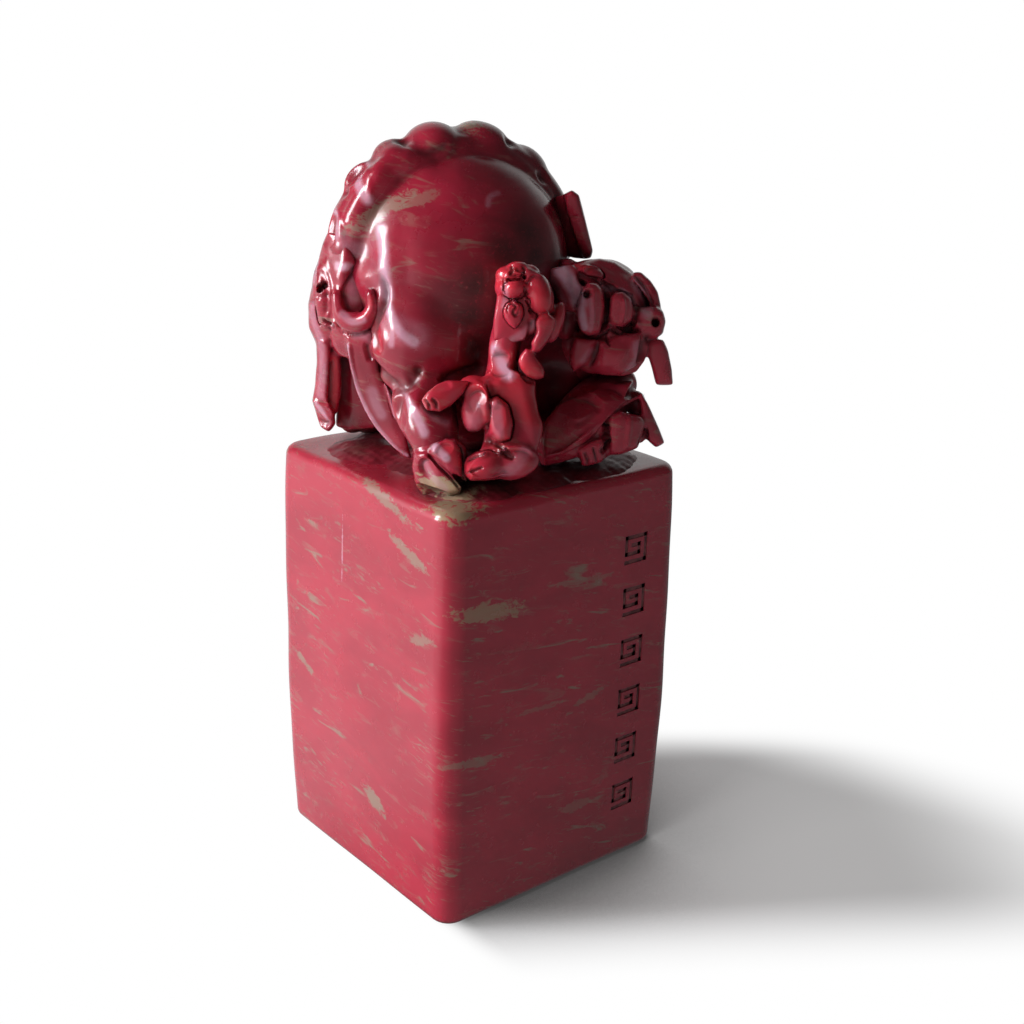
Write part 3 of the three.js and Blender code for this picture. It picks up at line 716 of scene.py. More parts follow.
def shaft_block(sizes):
    """The shaft's block in millimetres, with rounded edges and fine faces, before its frets."""
    width, height = sizes.shaft_width / MM, sizes.shaft_height / MM
    corner, rim, foot = sizes.corner_radius / MM, sizes.edge_radius / MM, sizes.foot_radius / MM
    block = bmesh.new()
    add_box(block, (-width / 2, -width / 2, 0), (width / 2, width / 2, height))
    round_edges(block, [e for e in block.edges if abs(e.verts[0].co.z - e.verts[1].co.z) > 1], corner, CORNER_PARTS)
    for level, radius in ((height, rim), (0, foot)):
        edges = [e for e in block.edges if all(abs(v.co.z - level) < 1e-4 for v in e.verts)]
        round_edges(block, edges, radius, RIM_PARTS)
    reach = width / 2 - corner - CLEAR
    for axis, low, high in ((0, -reach, reach), (1, -reach, reach), (2, foot + CLEAR, height - rim - CLEAR)):
        way = Vector([1.0 if k == axis else 0.0 for k in range(3)])
        count = round((high - low) / SHAFT_STEP)
        for i in range(count + 1):
            place = way * (low + (high - low) * i / count)
            everything = block.verts[:] + block.edges[:] + block.faces[:]
            bmesh.ops.bisect_plane(block, geom=everything, plane_co=place, plane_no=way)
    wave = sizes.polish_wave / MM
    for v in block.verts:
        x, y, z = v.co
        share = z / height
        half = width / 2 - sizes.shaft_taper / MM / 2 * (1 - share) + sizes.shaft_belly / MM * 4 * share * (1 - share)
        scale = half / (width / 2)
        uneven = wave * (math.sin(x * 0.31 + z * 0.22) + math.sin(y * 0.27 - z * 0.17 + 2) + math.sin(z * 0.4 + 1))
        v.co.x = x * scale * (1 - uneven / (width / 2))
        v.co.y = y * scale * (1 - uneven / (width / 2))
        if share > WAVY_TOP:
            v.co.z += 2 * wave * (math.sin(x * 0.42 + 1) + math.sin(y * 0.5 + x * 0.12) - 2)
    return block


def fret_cutters(sizes):
    """Boxes that cut the side frets and the printing face, in millimetres."""
    cutters = bmesh.new()
    side = -sizes.shaft_width / MM / 2
    floor = side + sizes.fret_depth / MM
    for _, low, high in side_frets(sizes):
        add_box(cutters, (low[0], side - 1, low[1]), (high[0], floor, high[1]))
    for sign_x, sign_y in ((1, 1), (-1, 1), (-1, -1), (1, -1)):
        for low, high in fret_bars(FACE_LINE):
            xs = sorted(sign_x * (FACE_CROSS + v) for v in (low[0], high[0]))
            ys = sorted(sign_y * (FACE_CROSS + v) for v in (low[1], high[1]))
            add_box(cutters, (xs[0], ys[0], -1), (xs[1], ys[1], FACE_DEPTH))
    return cutters


def make_shaft(sizes, colours):
    """The polished shaft with its frets cut."""
    made = []
    for shapes, name in ((shaft_block(sizes), "seal_shaft_stone"), (fret_cutters(sizes), "cutters")):
        mesh = bpy.data.meshes.new(name)
        shapes.to_mesh(mesh)
        shapes.free()
        made.append(bpy.data.objects.new(name, mesh))
        bpy.context.scene.collection.objects.link(made[-1])
    block, cutters = made
    cutting = block.modifiers.new("frets", "BOOLEAN")
    cutting.operation = "DIFFERENCE"
    cutting.solver = "EXACT"
    cutting.use_self = True
    cutting.object = cutters
    graph = bpy.context.evaluated_depsgraph_get()
    cut = bpy.data.meshes.new_from_object(block.evaluated_get(graph))
    for thing in made:
        bpy.data.objects.remove(thing)
    cut.transform(Matrix.Scale(MM, 4))
    set_out("shaft_polished", cut, shaft_stone(colours), ["seal_shaft"])
    cut.set_sharp_from_angle(angle=math.radians(SHARP_ANGLE))


def make_fret_ink(sizes, colours):
    """Old ink that fills the side frets almost to the stone's face."""
    ink = bmesh.new()
    depth = sizes.fret_depth / MM
    side = -sizes.shaft_width / MM / 2
    for middle, low, high in side_frets(sizes):
        share = middle / (sizes.shaft_height / MM)
        face = side + sizes.shaft_taper / MM / 2 * (1 - share) - sizes.shaft_belly / MM * 4 * share * (1 - share)
        add_box(ink, (low[0], face + INK_LEVEL, low[1]), (high[0], face + depth + INK_ROOT, high[1]))
    bmesh.ops.scale(ink, vec=(MM, MM, MM), verts=ink.verts)
    mesh = bpy.data.meshes.new("fret_ink")
    ink.to_mesh(mesh)
    ink.free()
    material = bpy.data.materials.new("old_ink")
    g = Graph(material)
    blotch = g.grains(0.9, 3, 0.6)
    paler = [c * 2.2 for c in colours.ink]
    tone = g.mix(g.ramp(blotch, 0.35, 0.65), colour(colours.ink), colour(paler))
    g.end(g.add("BsdfPrincipled", {"Base Color": tone, "Roughness": g.plus(g.times(blotch, 0.3), 0.5)}))
    set_out("side_fret_ink", mesh, material)
    mesh.shade_flat()


def paw(piece, centre, heading, size):
    """A pad with three toes that fan out along its heading (degrees)."""
    toe = size * 0.53
    piece.ball(centre, (size, size * 0.95, size * 0.85), turned(heading))
    for spread in (-32, 0, 32):
        angle = math.radians(heading + spread)
        place = centre + Vector((size * 0.8 * math.cos(angle), size * 0.8 * math.sin(angle), -size * 0.2))
        piece.ball(place, (toe * 1.35, toe * 0.85, toe), turned(heading + spread))


def turned(degrees):
    return Matrix.Rotation(math.radians(degrees), 3, "Z")


def rod(*rows):
    """Rows of a limb from x, y, z, half width on the knob."""
    return [(*knob(*row[:3]), row[3]) for row in rows]


def make_ground(colours):
    """The low uneven ground that the animals stand on."""
    ground = Carving(0.28)
    for x, y, wide, deep, high in ((0, -1, 18, 18, 3.4), (-11, -13, 8, 8, 3.2), (-2, -14, 10, 7, 3.2),
                                   (7, -14, 10, 7, 3.2), (12, -12, 8, 8, 3.0), (-12, 9, 8, 9, 3.0),
                                   (-6, 13, 8, 7, 2.9), (11, 11, 9, 9, 3.0), (13, 0, 7, 12, 3.0)):
        ground.ball(knob(x, y, -1.9), (wide, deep, high))
    ground.fuse(3)
    ground.ripple(0.10, 4.0, 3)
    ground.ripple(0.05, 1.5, 5)
    ground.at[:, :2] = np.clip(ground.at[:, :2], -19.6, 19.6)
    ground.finish("ground_under_knob", dark_stone(colours), ["carved_ground"])


def make_body(colours):
    """The lion's body with its haunches, legs and crest."""
    body = Carving(0.29)
    body.ball(knob(-3, 2.5, 27.6), 16)
    body.ball(knob(-1.5, 2.5, 13.6), 13.5)
    body.ball(knob(8.5, -2.5, 14.5), (9.5, 9.5, 12.5))
    body.ball(knob(-11.4, -3.0, 18.6), (7.9, 7.3, 9.3))
    body.ball(knob(-8.6, -1.2, 23.5), (10.2, 9.2, 8.5))
    body.ball(knob(-7.5, 12, 15), (8.2, 7.5, 9.5))
    body.lump(416, 338, 9.4, 42, 46, 5.4)
    body.band([(430, 378, 11.5, 32), (424, 402, 15, 31), (432, 430, 18.5, 26), (438, 452, 19.5, 20)])
    body.limb(rod((-4.6, 14.2, 11, 4), (-6, 15.6, 7.4, 3.5), (-7.6, 15.8, 4.4, 2.7)))
    body.limb(rod((9.5, 5.5, 12, 4.4), (13, 10.5, 8, 3.6), (13.6, 13.5, 4.4, 2.9)))
    spine_lobes(body)
    body.fuse(8)
    crest_strokes(body)
    # flank between the tail and the long ridge, with a painted highlight along the ridge and a small one on the dome;
    # the groove beside the curl has painted shade
    body.press((364, 250), 4.0, 0.7)
    body.cut([(381, 222), (386, 245), (388, 268), (390, 290), (392, 306)], 3.2, -0.4, fade=0.4)
    body.paint([(488, 205), (490, 197), (498, 193)], 0.6, milk_and_highlight=0.3)
    body.paint([(380, 230), (383, 246), (385, 264), (386, 282), (387, 296)], 1.5, milk_and_highlight=0.95)
    body.paint([(372, 226), (370, 244), (372, 262), (377, 280)], 1.6, milk_and_highlight=0.1)
    body.cut([(381, 272), (386, 286), (385, 300), (379, 316), (373, 330), (369, 340)], 0.9, 0.7, dirt_and_shade=0.7)
    # the haunch's facets with painted highlights, and the crease under it with painted shade
    body.shave((378, 335), 2.8, 0.35, (-18, -6))
    body.cut([(386, 304), (392, 316), (398, 328), (407, 338), (416, 342)], 2.0, -0.35, fade=0.3)
    body.paint([(386, 300), (390, 312), (396, 324), (403, 334), (414, 342)], 1.15, milk_and_highlight=0.95)
    body.paint([(394, 322), (393, 334), (391, 344)], 0.8, milk_and_highlight=0.6)
    body.paint([(384, 318), (402, 330), (418, 336)], 2.6, milk_and_highlight=0.22)
    body.paint([(372, 322), (376, 336), (377, 348)], 1.5, ember=0.7)
    body.cut([(366, 350), (375, 366), (388, 380), (400, 387), (411, 381), (420, 371)], 1.7, 0.8, dirt_and_shade=0.6)
    body.press((418, 371), 1.0, 0.7, dirt_and_shade=0.9)
    body.cut([(440, 383), (455, 376), (470, 371), (484, 365)], 1.3, 0.9, dirt_and_shade=0.9)
    # the shank, with painted highlights on its facets
    body.shave((402, 412), 3.4, 0.5, (-24, 0))
    body.paint([(398, 388), (406, 400), (414, 412), (419, 422), (424, 433)], 1.0, milk_and_highlight=0.8)
    body.paint([(425, 408), (436, 416), (446, 422)], 1.0, milk_and_highlight=0.35)
    body.shave((434, 412), 3.6, 0.5, (10, 18))
    body.cut([(410, 404), (428, 414), (448, 422)], 1.1, -0.3, fade=0.2)
    # between cub and head the stone is cut far back, with painted shade in the cut
    body.press((558, 345), 5.5, 1.6, dirt_and_shade=0.5)
    body.press((556, 385), 4.5, 1.4, dirt_and_shade=0.4)
    # painted shade: the dome behind and beside the cub's head, the hollows left and right of the cub, and under the
    # jaw
    body.soil(((505, 250), 6.0, 0.95), ((526, 232), 7.5, 0.85), ((535, 256), 4.5, 0.9), ((479, 285), 6.5, 1.0),
              ((473, 318), 6.5, 1.0), ((474, 345), 5.5, 1.0), ((455, 302), 8.0, 0.6), ((428, 262), 6.0, 0.2),
              ((482, 352), 4.0, 0.6), ((552, 262), 4.0, 0.5), ((455, 262), 6.0, 0.42), ((560, 305), 4.0, 0.6),
              ((556, 335), 5.5, 0.8), ((553, 372), 5.0, 0.85), ((552, 410), 4.5, 0.75), ((600, 384), 4.0, 0.6),
              ((630, 384), 3.5, 0.6))
    body.relax(1)
    body.ripple(0.035, 6.0, 11)
    nodes = ["lion_body", "lion_shoulder", "right_haunch", "left_haunch", "right_hind_leg", "left_hind_leg",
             "left_foreleg", "spine_crest"]
    body.finish("lion_body_and_legs", red_stone(colours), nodes)


RUMP_TURN = math.radians(162)  # from the x axis to the side that the lion's rump is on
CREST_RADIUS, CREST_STEPS, CREST_FIRST, CREST_STEP = 15.6, 13, 10, 13.5  # angles in degrees from the rump upwards


def spine_lobes(body):
    """Broad lobes over the back, from the tail to the neck, on a ridge that carries them.

    Each lobe has its angle, half sizes along, across and out, its shift to the right and how far out it sits.
    """
    centre = knob(-3, 2.5, 27.6)
    rumpward = Vector((math.cos(RUMP_TURN), math.sin(RUMP_TURN), 0))
    right = Vector((-rumpward.y, rumpward.x, 0))
    lobes = ((20, 5.0, 2.8, 2.4, -0.4, 15.9), (40.5, 3.4, 3.9, 3.1, 0.6, 16.2), (57.5, 3.2, 4.0, 3.0, 0.8, 16.2),
             (77, 3.9, 5.0, 3.1, 1.2, 16.2), (102, 4.3, 4.4, 3.1, 0.6, 16.2), (128.5, 3.9, 3.7, 3.0, 0.3, 16.0),
             (150, 3.4, 3.0, 2.0, 0, 15.8), (170, 3.0, 2.6, 1.8, 0, 15.6))
    ridge = []
    for step in range(CREST_STEPS):
        turn = math.radians(CREST_FIRST + step * CREST_STEP)
        out = rumpward * math.cos(turn) + Vector((0, 0, math.sin(turn)))
        ridge.append((*(centre + out * CREST_RADIUS + right * 0.6), 2.7))
    body.limb(ridge, 4.0, right)
    side = Vector(EYE - centre).normalized() * 3.4
    body.limb([(*(Vector(row[:3]) * 0.93 + centre * 0.07 + side * 0.8), 2.6) for row in ridge[1:-1]], 2.6, right)
    for angle, along_size, side_size, out_size, shift, lift in lobes:
        turn = math.radians(angle)
        out = rumpward * math.cos(turn) + Vector((0, 0, 1)) * math.sin(turn)
        along = out.cross(right)
        body.ball(centre + out * lift + right * shift, (along_size, side_size, out_size),
                  Matrix((along, right, out)).transposed())


def crest_strokes(body):
    """The valley left of the crest, the seams between its lobes, and its colours: painted shade in the seams, painted
    highlights on the left lobes.
    """
    body.cut([(372, 204), (373, 192), (377, 178), (384, 166), (394, 160), (406, 159), (420, 161), (436, 160)], 3.4,
             -0.9, fade=0.3)
    body.cut([(458, 149), (474, 147), (492, 149), (508, 153), (522, 160), (534, 169), (543, 179)], 1.8, 0.12,
             dirt_and_shade=0.1)
    for mark in ((345, 190), (371, 154), (402, 141), (452, 124), (509, 141), (543, 176)):
        body.press(mark, 1.6, 0.6, dirt_and_shade=0.3)
    body.cut([(401, 138), (405, 146), (413, 151), (426, 153), (440, 150), (450, 143)], 0.7, 0.35, dirt_and_shade=0.7)
    body.shave((354, 178), 3.2, 0.5, (-10, 16))
    body.paint([(352, 162), (356, 176), (361, 190), (368, 200)], 1.1, milk_and_highlight=0.7)
    body.paint([(366, 160), (372, 172), (374, 184)], 0.6, milk_and_highlight=0.5)
    body.paint([(334, 208), (338, 222), (337, 236)], 0.9, milk_and_highlight=0.6)
    body.paint([(340, 236), (348, 246), (360, 252)], 1.5, milk_and_highlight=0.3)
    body.cut([(361, 163), (370, 176), (371, 190), (370, 205)], 0.8, -0.4, crisp=True)
    body.cut([(334, 208), (340, 222), (341, 242)], 0.9, -0.3)
    body.shave((333, 228), 2.6, 0.35, (-18, 0))


def make_paws(colours):
    """The near hind paw toe by toe, and the two paws on the far side."""
    near = Carving(0.13)
    near.slab([(414, 452, 21.0), (428, 452, 22.2), (438, 462, 23.0), (451, 474, 23.5), (462, 487, 23.2),
               (460, 494, 22.4), (438, 500, 21.4), (424, 497, 20.8), (416, 485, 20.6), (412, 468, 20.6)], 7, 1.2, 0.8)
    near.slab([(428, 453, 22.6), (435, 444, 22.5), (446, 438, 22.4), (457, 438, 22.2), (461, 452, 22.6),
               (463, 466, 22.9), (462, 478, 23.0), (452, 473, 23.3), (440, 462, 23.2)], 6, 1.2, 1.0)
    near.slab([(457, 438, 21.6), (466, 446, 21.2), (469, 460, 21.4), (467, 482, 21.8), (462, 480, 22.2),
               (463, 462, 22.3)], 5, 0.5, 0.3)
    near.lump(436, 450, 19.6, 22, 18, 3.0)
    near.fuse(16)
    near.cut([(427, 453), (436, 464), (447, 475), (455, 483), (461, 491)], 0.30, 0.7, dirt_and_shade=1.0, crisp=True, fade=0.08)
    near.cut([(456, 440), (461, 450), (463, 462), (462, 476), (460, 484)], 0.30, 0.7, dirt_and_shade=1.0, crisp=True, fade=0.08)
    near.shave((432, 489), 2.6, 0.3, (0, -30))
    near.shave((446, 452), 1.6, 0.2, (-8, 14))
    near.shave((428, 468), 1.6, 0.2, (-16, 4))
    # painted highlights on the toes, and bright red on the middle toe
    near.paint([(434, 446), (440, 452), (446, 458)], 0.9, milk_and_highlight=0.9)
    near.paint([(447, 444), (454, 452), (457, 462)], 1.0, ember=0.8)
    near.paint([(424, 464), (432, 476), (444, 488)], 1.0, milk_and_highlight=0.3)
    near.ripple(0.03, 3.0, 8)
    near.finish("near_hind_paw", red_stone(colours), ["right_hind_paw"])

    for place, heading, size, name, node in (
        ((-8.6, 15.8, 3.2), 150, 3.1, "left_hind_paw_toes", "left_hind_paw"),
        ((14.8, 15, 3.4), 50, 3.2, "left_fore_paw_toes", "left_fore_paw"),
    ):
        far = Carving(0.18)
        paw(far, knob(*place), heading, size)
        far.fuse(3)
        far.finish(name, red_stone(colours), [node])


def make_tail(colours):
    """The tail's root, its two curls and the strands that hang from them."""
    tail = Carving(0.17)
    # the tail's root, and the broad plate left of the near curl
    tail.slab([(328, 232, 7.0), (346, 236, 9.0), (357, 262, 9.8), (347, 275, 9.8), (341, 288, 9.6), (340, 300, 9.6),
               (342, 312, 9.8), (338, 330, 8.6), (327, 326, 5.8), (316, 318, 4.2), (309, 318, 3.4), (308, 306, 3.2),
               (311, 290, 3.6), (315, 272, 4.4), (319, 258, 5.0), (323, 243, 5.8)], 3.4, 1.4, 0.7)
    tail.band([(337, 296, 9.2, 6), (341, 314, 9.8, 8), (352, 322.5, 10.6, 10), (366, 320, 11.4, 9),
               (374, 307, 12.0, 7.5), (371, 293, 12.0, 6)], 1.7)
    # the far curl and the swelling under it
    tail.slab([(318, 262, 5.0), (327, 258, 6.4), (331, 275, 7.0), (330, 292, 6.8), (321, 300, 5.2), (312, 297, 4.0),
               (312, 282, 4.0), (315, 270, 4.4)], 2.6, 0.8, 0.3)
    tail.slab([(308, 303, 3.8), (322, 300, 5.6), (336, 306, 8.0), (337, 318, 7.6), (331, 326, 6.2), (334, 336, 6.0),
               (326, 347, 4.6), (316, 343, 3.4), (309, 328, 3.0)], 3.2, 1.3, 1.0)
    # far strand with its foot, and the strand behind it
    tail.slab([(316, 340, 3.6), (331, 340, 5.4), (330, 360, 5.0), (329, 385, 4.7), (328, 400, 4.5), (334, 412, 4.6),
               (336, 424, 4.2), (329, 432, 3.6), (321, 427, 3.0), (316, 413, 2.6), (312, 401, 2.6), (315, 385, 2.9),
               (317, 362, 3.2)], 2.8, 1.1, 0.8)
    tail.slab([(328, 352, 4.0), (339, 350, 4.6), (342, 370, 4.0), (341, 395, 3.4), (338, 412, 3.2), (329, 416, 3.0)],
              1.6, 0.6, 0.3)
    tail.slab([(332, 330, 2.6), (352, 330, 3.4), (364, 360, 3.2), (376, 428, 2.0), (350, 430, 1.0), (336, 426, 0.6),
               (338, 380, 1.0)], 4.0, 0.4, 0.0)
    # the near strand
    tail.slab([(332, 322, 8.2), (348, 330, 9.8), (351, 345, 9.2), (347, 358, 8.0), (339, 356, 6.6), (331, 345, 5.8)],
              3.6, 0.5, 0.2)
    tail.slab([(346, 332, 10.4), (360, 330, 11.0), (373, 330, 11.4), (376, 350, 11.5), (380, 370, 11.6),
               (387, 388, 12.0), (397, 410, 12.4), (406, 436, 12.6), (412, 459, 12.4), (404, 457, 12.0),
               (390, 444, 11.4), (372, 422, 10.8), (359, 397, 10.3), (351, 372, 10.1), (346, 348, 10.2)], 2.6, 1.6,
              0.7)
    tail.slab([(384, 383, 12.4), (388, 386, 12.6), (397, 404, 13.2), (399, 421, 13.4), (394, 419, 12.9),
               (388, 400, 12.6)], 1.4, 0.5, 0.3)
    # the curl on the far side, as a ring whose end tapers, and the mass that carries both curls
    middle, way = knob(-18.1, 11.0, 23.4), Vector((0.62, 0.78, 0))
    rows = []
    for step, width in enumerate((1.4, 1.5, 1.6, 1.7, 1.6, 1.5, 1.3, 1.1, 0.8)):
        turn = math.radians(110 + step * 36)
        spot = middle + way * 3.7 * math.cos(turn) + Vector((0, 0, 3.7 * math.sin(turn)))
        rows.append((*spot, width))
    tail.limb(rows, 1.4, (-0.78, 0.62, 0))
    tail.lump(355, 289, 8.0, 17, 28, 1.9)
    tail.ball(knob(-13.8, 11.5, 24), (3.8, 4.4, 11), turned(-math.degrees(VIEW_TURN)))
    tail.lump(333, 350, 3.4, 8, 12, 1.2)
    tail.fuse(14)
    tail.bore((319.5, 288), 0.5, 1.6)
    tail.bore((324, 285), 0.45, 1.6)
    tail.cut([(314, 296), (322, 297), (330, 293)], 0.5, 0.2, dirt_and_shade=0.2)
    tail.cut([(322, 320), (329, 324), (335, 327)], 0.6, 0.7, dirt_and_shade=1.0)
    tail.cut([(355, 267), (346, 276), (341, 287), (339, 299), (342, 309), (350, 314), (359, 312), (364, 304)], 0.45,
             -0.28, crisp=True, fade=0.05)
    tail.cut([(349, 342), (353, 368), (360, 394), (373, 420), (391, 442), (406, 454)], 0.6, -0.35, crisp=True,
             fade=0.05)
    tail.cut([(366, 343), (368, 352), (371, 362)], 0.7, 0.4, dirt_and_shade=0.2)
    tail.cut([(312, 400), (322, 404), (332, 410)], 0.5, -0.3, crisp=True)
    tail.shave((322, 417), 1.8, 0.3, (-10, -18))
    tail.cut([(339, 331), (350, 335), (362, 334), (372, 328), (377, 318)], 0.45, 0.35, dirt_and_shade=0.6)
    # painted highlights and reflections on the root, the curls, the strands and their ridges; bright red on the inner
    # strip and the curl's tip
    tail.paint([(337, 266), (345, 267), (354, 268)], 0.9, milk_and_highlight=0.8)
    tail.paint([(348, 346), (353, 370), (361, 396), (374, 421), (392, 443), (406, 455)], 0.55, milk_and_highlight=0.9)
    tail.paint([(358, 274), (354, 286), (354, 298)], 1.3, milk_and_highlight=0.3)
    tail.paint([(355, 334), (366, 336), (374, 340)], 1.0, milk_and_highlight=0.35)
    tail.paint([(372, 392), (376, 404), (381, 414)], 1.3, milk_and_highlight=0.3)
    tail.paint([(388, 388), (393, 402), (395, 416)], 0.6, milk_and_highlight=0.5)
    tail.paint([(334, 360), (335, 385), (333, 408)], 0.9, ember=1.0)
    tail.paint([(342, 314), (352, 322), (363, 320)], 0.8, milk_and_highlight=0.5)
    tail.paint([(359, 318), (368, 310), (371, 298)], 0.7, ember=0.5)
    tail.paint([(317, 404), (323, 414), (326, 424)], 0.8, milk_and_highlight=0.7)
    tail.paint([(322, 244), (318, 262), (314, 280)], 1.0, milk_and_highlight=0.45)
    tail.paint([(321, 345), (322, 370), (320, 395)], 1.2, milk_and_highlight=0.35)
    tail.paint([(312, 306), (314, 322), (320, 338)], 1.3, milk_and_highlight=0.4)
    tail.ripple(0.03, 3.5, 17)
    nodes = ["tail_stem", "right_tail_curl", "left_tail_curl", "right_tail_strand", "middle_tail_strand",
             "left_tail_strand"]
    tail.finish("tail_curls_and_strands", red_stone(colours), nodes)


def make_head(colours):
    """The lion's head, which looks back, with its ear and the ring curl."""
    head = Carving(0.15)
    head.ball(knob(12.2, -12.2, 22.6), (6.2, 5.4, 6))
    head.ball(knob(8.4, -11.6, 22.4), (4.4, 4.4, 4.4))
    head.ball(knob(12, -9.5, 16), (5.5, 4.5, 6))
    # muzzle
    head.slab([(551, 268, 8.4), (562, 266, 8.8), (571, 264, 8.6), (577, 270, 9.0), (579, 282, 10.2), (584, 289, 10.8),
               (579, 302, 11.0), (575, 312, 10.4), (565, 310, 9.4), (557, 298, 8.6), (553, 287, 8.2), (547, 280, 7.8),
               (545, 272, 7.6)], 4.0, 1.8, 1.2)
    head.slab([(583, 288, 11.5), (588, 282, 11.3), (597, 283, 10.7), (603, 289, 10.1), (605, 304, 10.1),
               (603, 320, 10.3), (600, 333, 10.8), (589, 336, 11.6), (581, 332, 12.0), (576.5, 320, 12.2),
               (576, 309, 12.1), (578, 301, 11.9)], 4.0, 1.8, 1.5)
    head.lump(566, 316, 6.0, 14, 24, 2.6)
    head.lump(588, 276, 7.4, 16, 9, 2.2)
    head.lump(566, 266, 4.6, 11, 7, 2.0)
    head.lump(606, 308, 6.6, 12, 30, 2.4)
    head.lump(645, 338, 3.2, 12, 12, 2.0)
    head.lump(600, 352, 6.6, 30, 22, 3.0)
    head.lump(600, 336, 7.0, 26, 8, 2.6)
    # forehead, brow and eye
    head.slab([(571, 264, 8.0), (585, 260, 6.6), (600, 258.5, 5.6), (615, 262, 4.6), (630, 272, 3.8), (641, 286, 3.0),
               (647, 304, 2.6), (645, 326, 3.4), (634, 330, 5.6), (606, 334, 8.4), (604, 290, 8.6), (590, 278, 8.8),
               (577, 272, 8.8)], 5.0, 2.6, 1.6)
    head.slab([(609, 297, 9.4), (615, 292, 9.5), (623, 292, 9.1), (631, 298, 8.3), (634, 310, 7.6), (632, 321, 7.8),
               (622, 328, 8.8), (612, 325, 9.4), (608, 318, 9.6)], 3.0, 1.6, 1.2)
    # jaw
    head.slab([(575, 337, 10.6), (597, 339, 9.8), (594, 350, 9.6), (586, 364, 9.6), (573, 373, 9.6), (569, 361, 10.0),
               (571, 347, 10.4)], 4.0, 1.7, 1.2)
    head.slab([(598, 340, 9.8), (606, 341, 9.5), (621, 334, 8.8), (641, 332, 7.0), (648, 346, 6.2), (645, 360, 6.4),
               (636, 372, 7.2), (621, 376, 8.4), (601, 375, 8.6), (592, 370, 9.0), (595, 356, 9.4)], 6.0, 2.6, 1.9)
    # ear, ring curl and the lock under it
    head.slab([(630, 277, 4.6), (634, 272, 4.6), (641, 272, 4.3), (650, 280, 3.9), (658, 292, 3.5), (661, 306, 3.2),
               (660, 313, 3.2), (652, 311, 3.8), (647, 299, 4.3), (640, 289, 4.8), (633, 283, 4.9)], 2.0, 0.9, 0.5)
    head.slab([(632, 308, 6.4), (655, 306, 5.4), (663, 311, 4.9), (666, 321, 4.6), (663, 334, 4.8), (655, 339, 5.2),
               (643, 336, 5.9), (632, 330, 6.4)], 4.0, 1.7, 1.1)
    head.slab([(649, 341, 5.2), (663, 339, 4.4), (668, 351, 4.0), (672, 370, 3.6), (673, 385, 3.4), (656, 385, 4.2),
               (653, 372, 4.6), (648, 357, 5.2)], 2.4, 1.4, 0.9)
    head.fuse(18)
    head.bore((547, 275), 0.4, 1.2)
    head.bore((587, 294), 0.42, 1.2)
    head.bore((656, 322), 0.52, 2.2)
    head.cut([(593, 286), (594, 300), (593, 318), (590, 333)], 0.5, -0.22, crisp=True)
    head.cut([(605, 286), (607, 300), (606, 318), (600, 334)], 0.6, 0.8, dirt_and_shade=1.0)
    head.cut([(578, 272), (586, 278), (596, 280), (606, 285), (613, 290)], 0.6, 0.6, dirt_and_shade=0.8)
    head.cut([(583, 287), (579, 300), (574, 312)], 0.5, 0.2, dirt_and_shade=0.1)
    head.cut([(623, 297), (624, 310), (621, 324)], 0.5, -0.3, crisp=True)
    head.cut([(607, 318), (611, 327), (622, 331), (633, 325), (637, 312), (634, 299), (624, 291)], 0.5, 0.4, dirt_and_shade=0.7)
    head.cut([(572, 335), (588, 338), (600, 337), (609, 331), (622, 333), (642, 330)], 0.45, 0.6, dirt_and_shade=1.0)
    head.cut([(605, 336), (607, 341), (611, 346)], 0.3, 0.35, dirt_and_shade=0.8)
    head.cut([(598, 340), (596, 353), (589, 368)], 0.4, 0.3, dirt_and_shade=0.3)
    head.shave((641, 350), 2.6, 0.4, (30, 0))
    head.shave((632, 370), 2.4, 0.3, (10, -34))
    head.cut([(636, 276), (645, 287), (652, 302), (656, 312)], 0.4, 0.4, dirt_and_shade=0.6)
    # painted highlights and reflections on the muzzle, nose, brow, ear and jaw; bright red on the forehead and beside
    # the nose
    head.paint([(560, 270), (568, 280), (575, 292), (579, 303)], 1.7, milk_and_highlight=0.9)
    head.paint([(550, 272), (556, 286), (564, 300)], 1.2, milk_and_highlight=0.25)
    head.paint([(578, 266), (584, 266), (589, 268)], 0.9, ember=1.0)
    head.paint([(582, 296), (581, 310), (584, 328)], 0.9, milk_and_highlight=0.8)
    head.paint([(590, 300), (592, 316), (590, 330)], 0.6, milk_and_highlight=0.3)
    head.paint([(602, 287), (614, 289), (625, 292), (634, 304)], 0.6, milk_and_highlight=0.7)
    head.paint([(634, 284), (643, 296), (647, 312)], 1.4, milk_and_highlight=0.45)
    head.paint([(584, 360), (590, 352)], 1.1, milk_and_highlight=0.3)
    head.paint([(636, 346), (637, 358), (630, 369)], 1.2, milk_and_highlight=0.4)
    head.paint([(596, 286), (602, 300), (600, 320)], 0.7, ember=0.6)
    # painted shade in the recesses beside the nose and eye, under the muzzle, in the mouth and at the ring curl
    head.soil(((607, 300), 1.2, 0.9), ((606, 318), 1.2, 0.9), ((560, 318), 3.4, 0.9), ((556, 300), 1.5, 0.6),
              ((600, 336), 1.0, 0.8), ((645, 338), 1.6, 0.8), ((640, 303), 0.9, 0.5), ((611, 283), 1.0, 0.6))
    head.ripple(0.03, 3.0, 13)
    nodes = ["lion_skull", "lion_nose", "lion_brow", "left_eye", "left_cheek", "lion_jaw", "left_ear",
             "mane_ring_curl", "mane_lock_1"]
    head.finish("lion_head_and_curl", head_stone(colours), nodes)


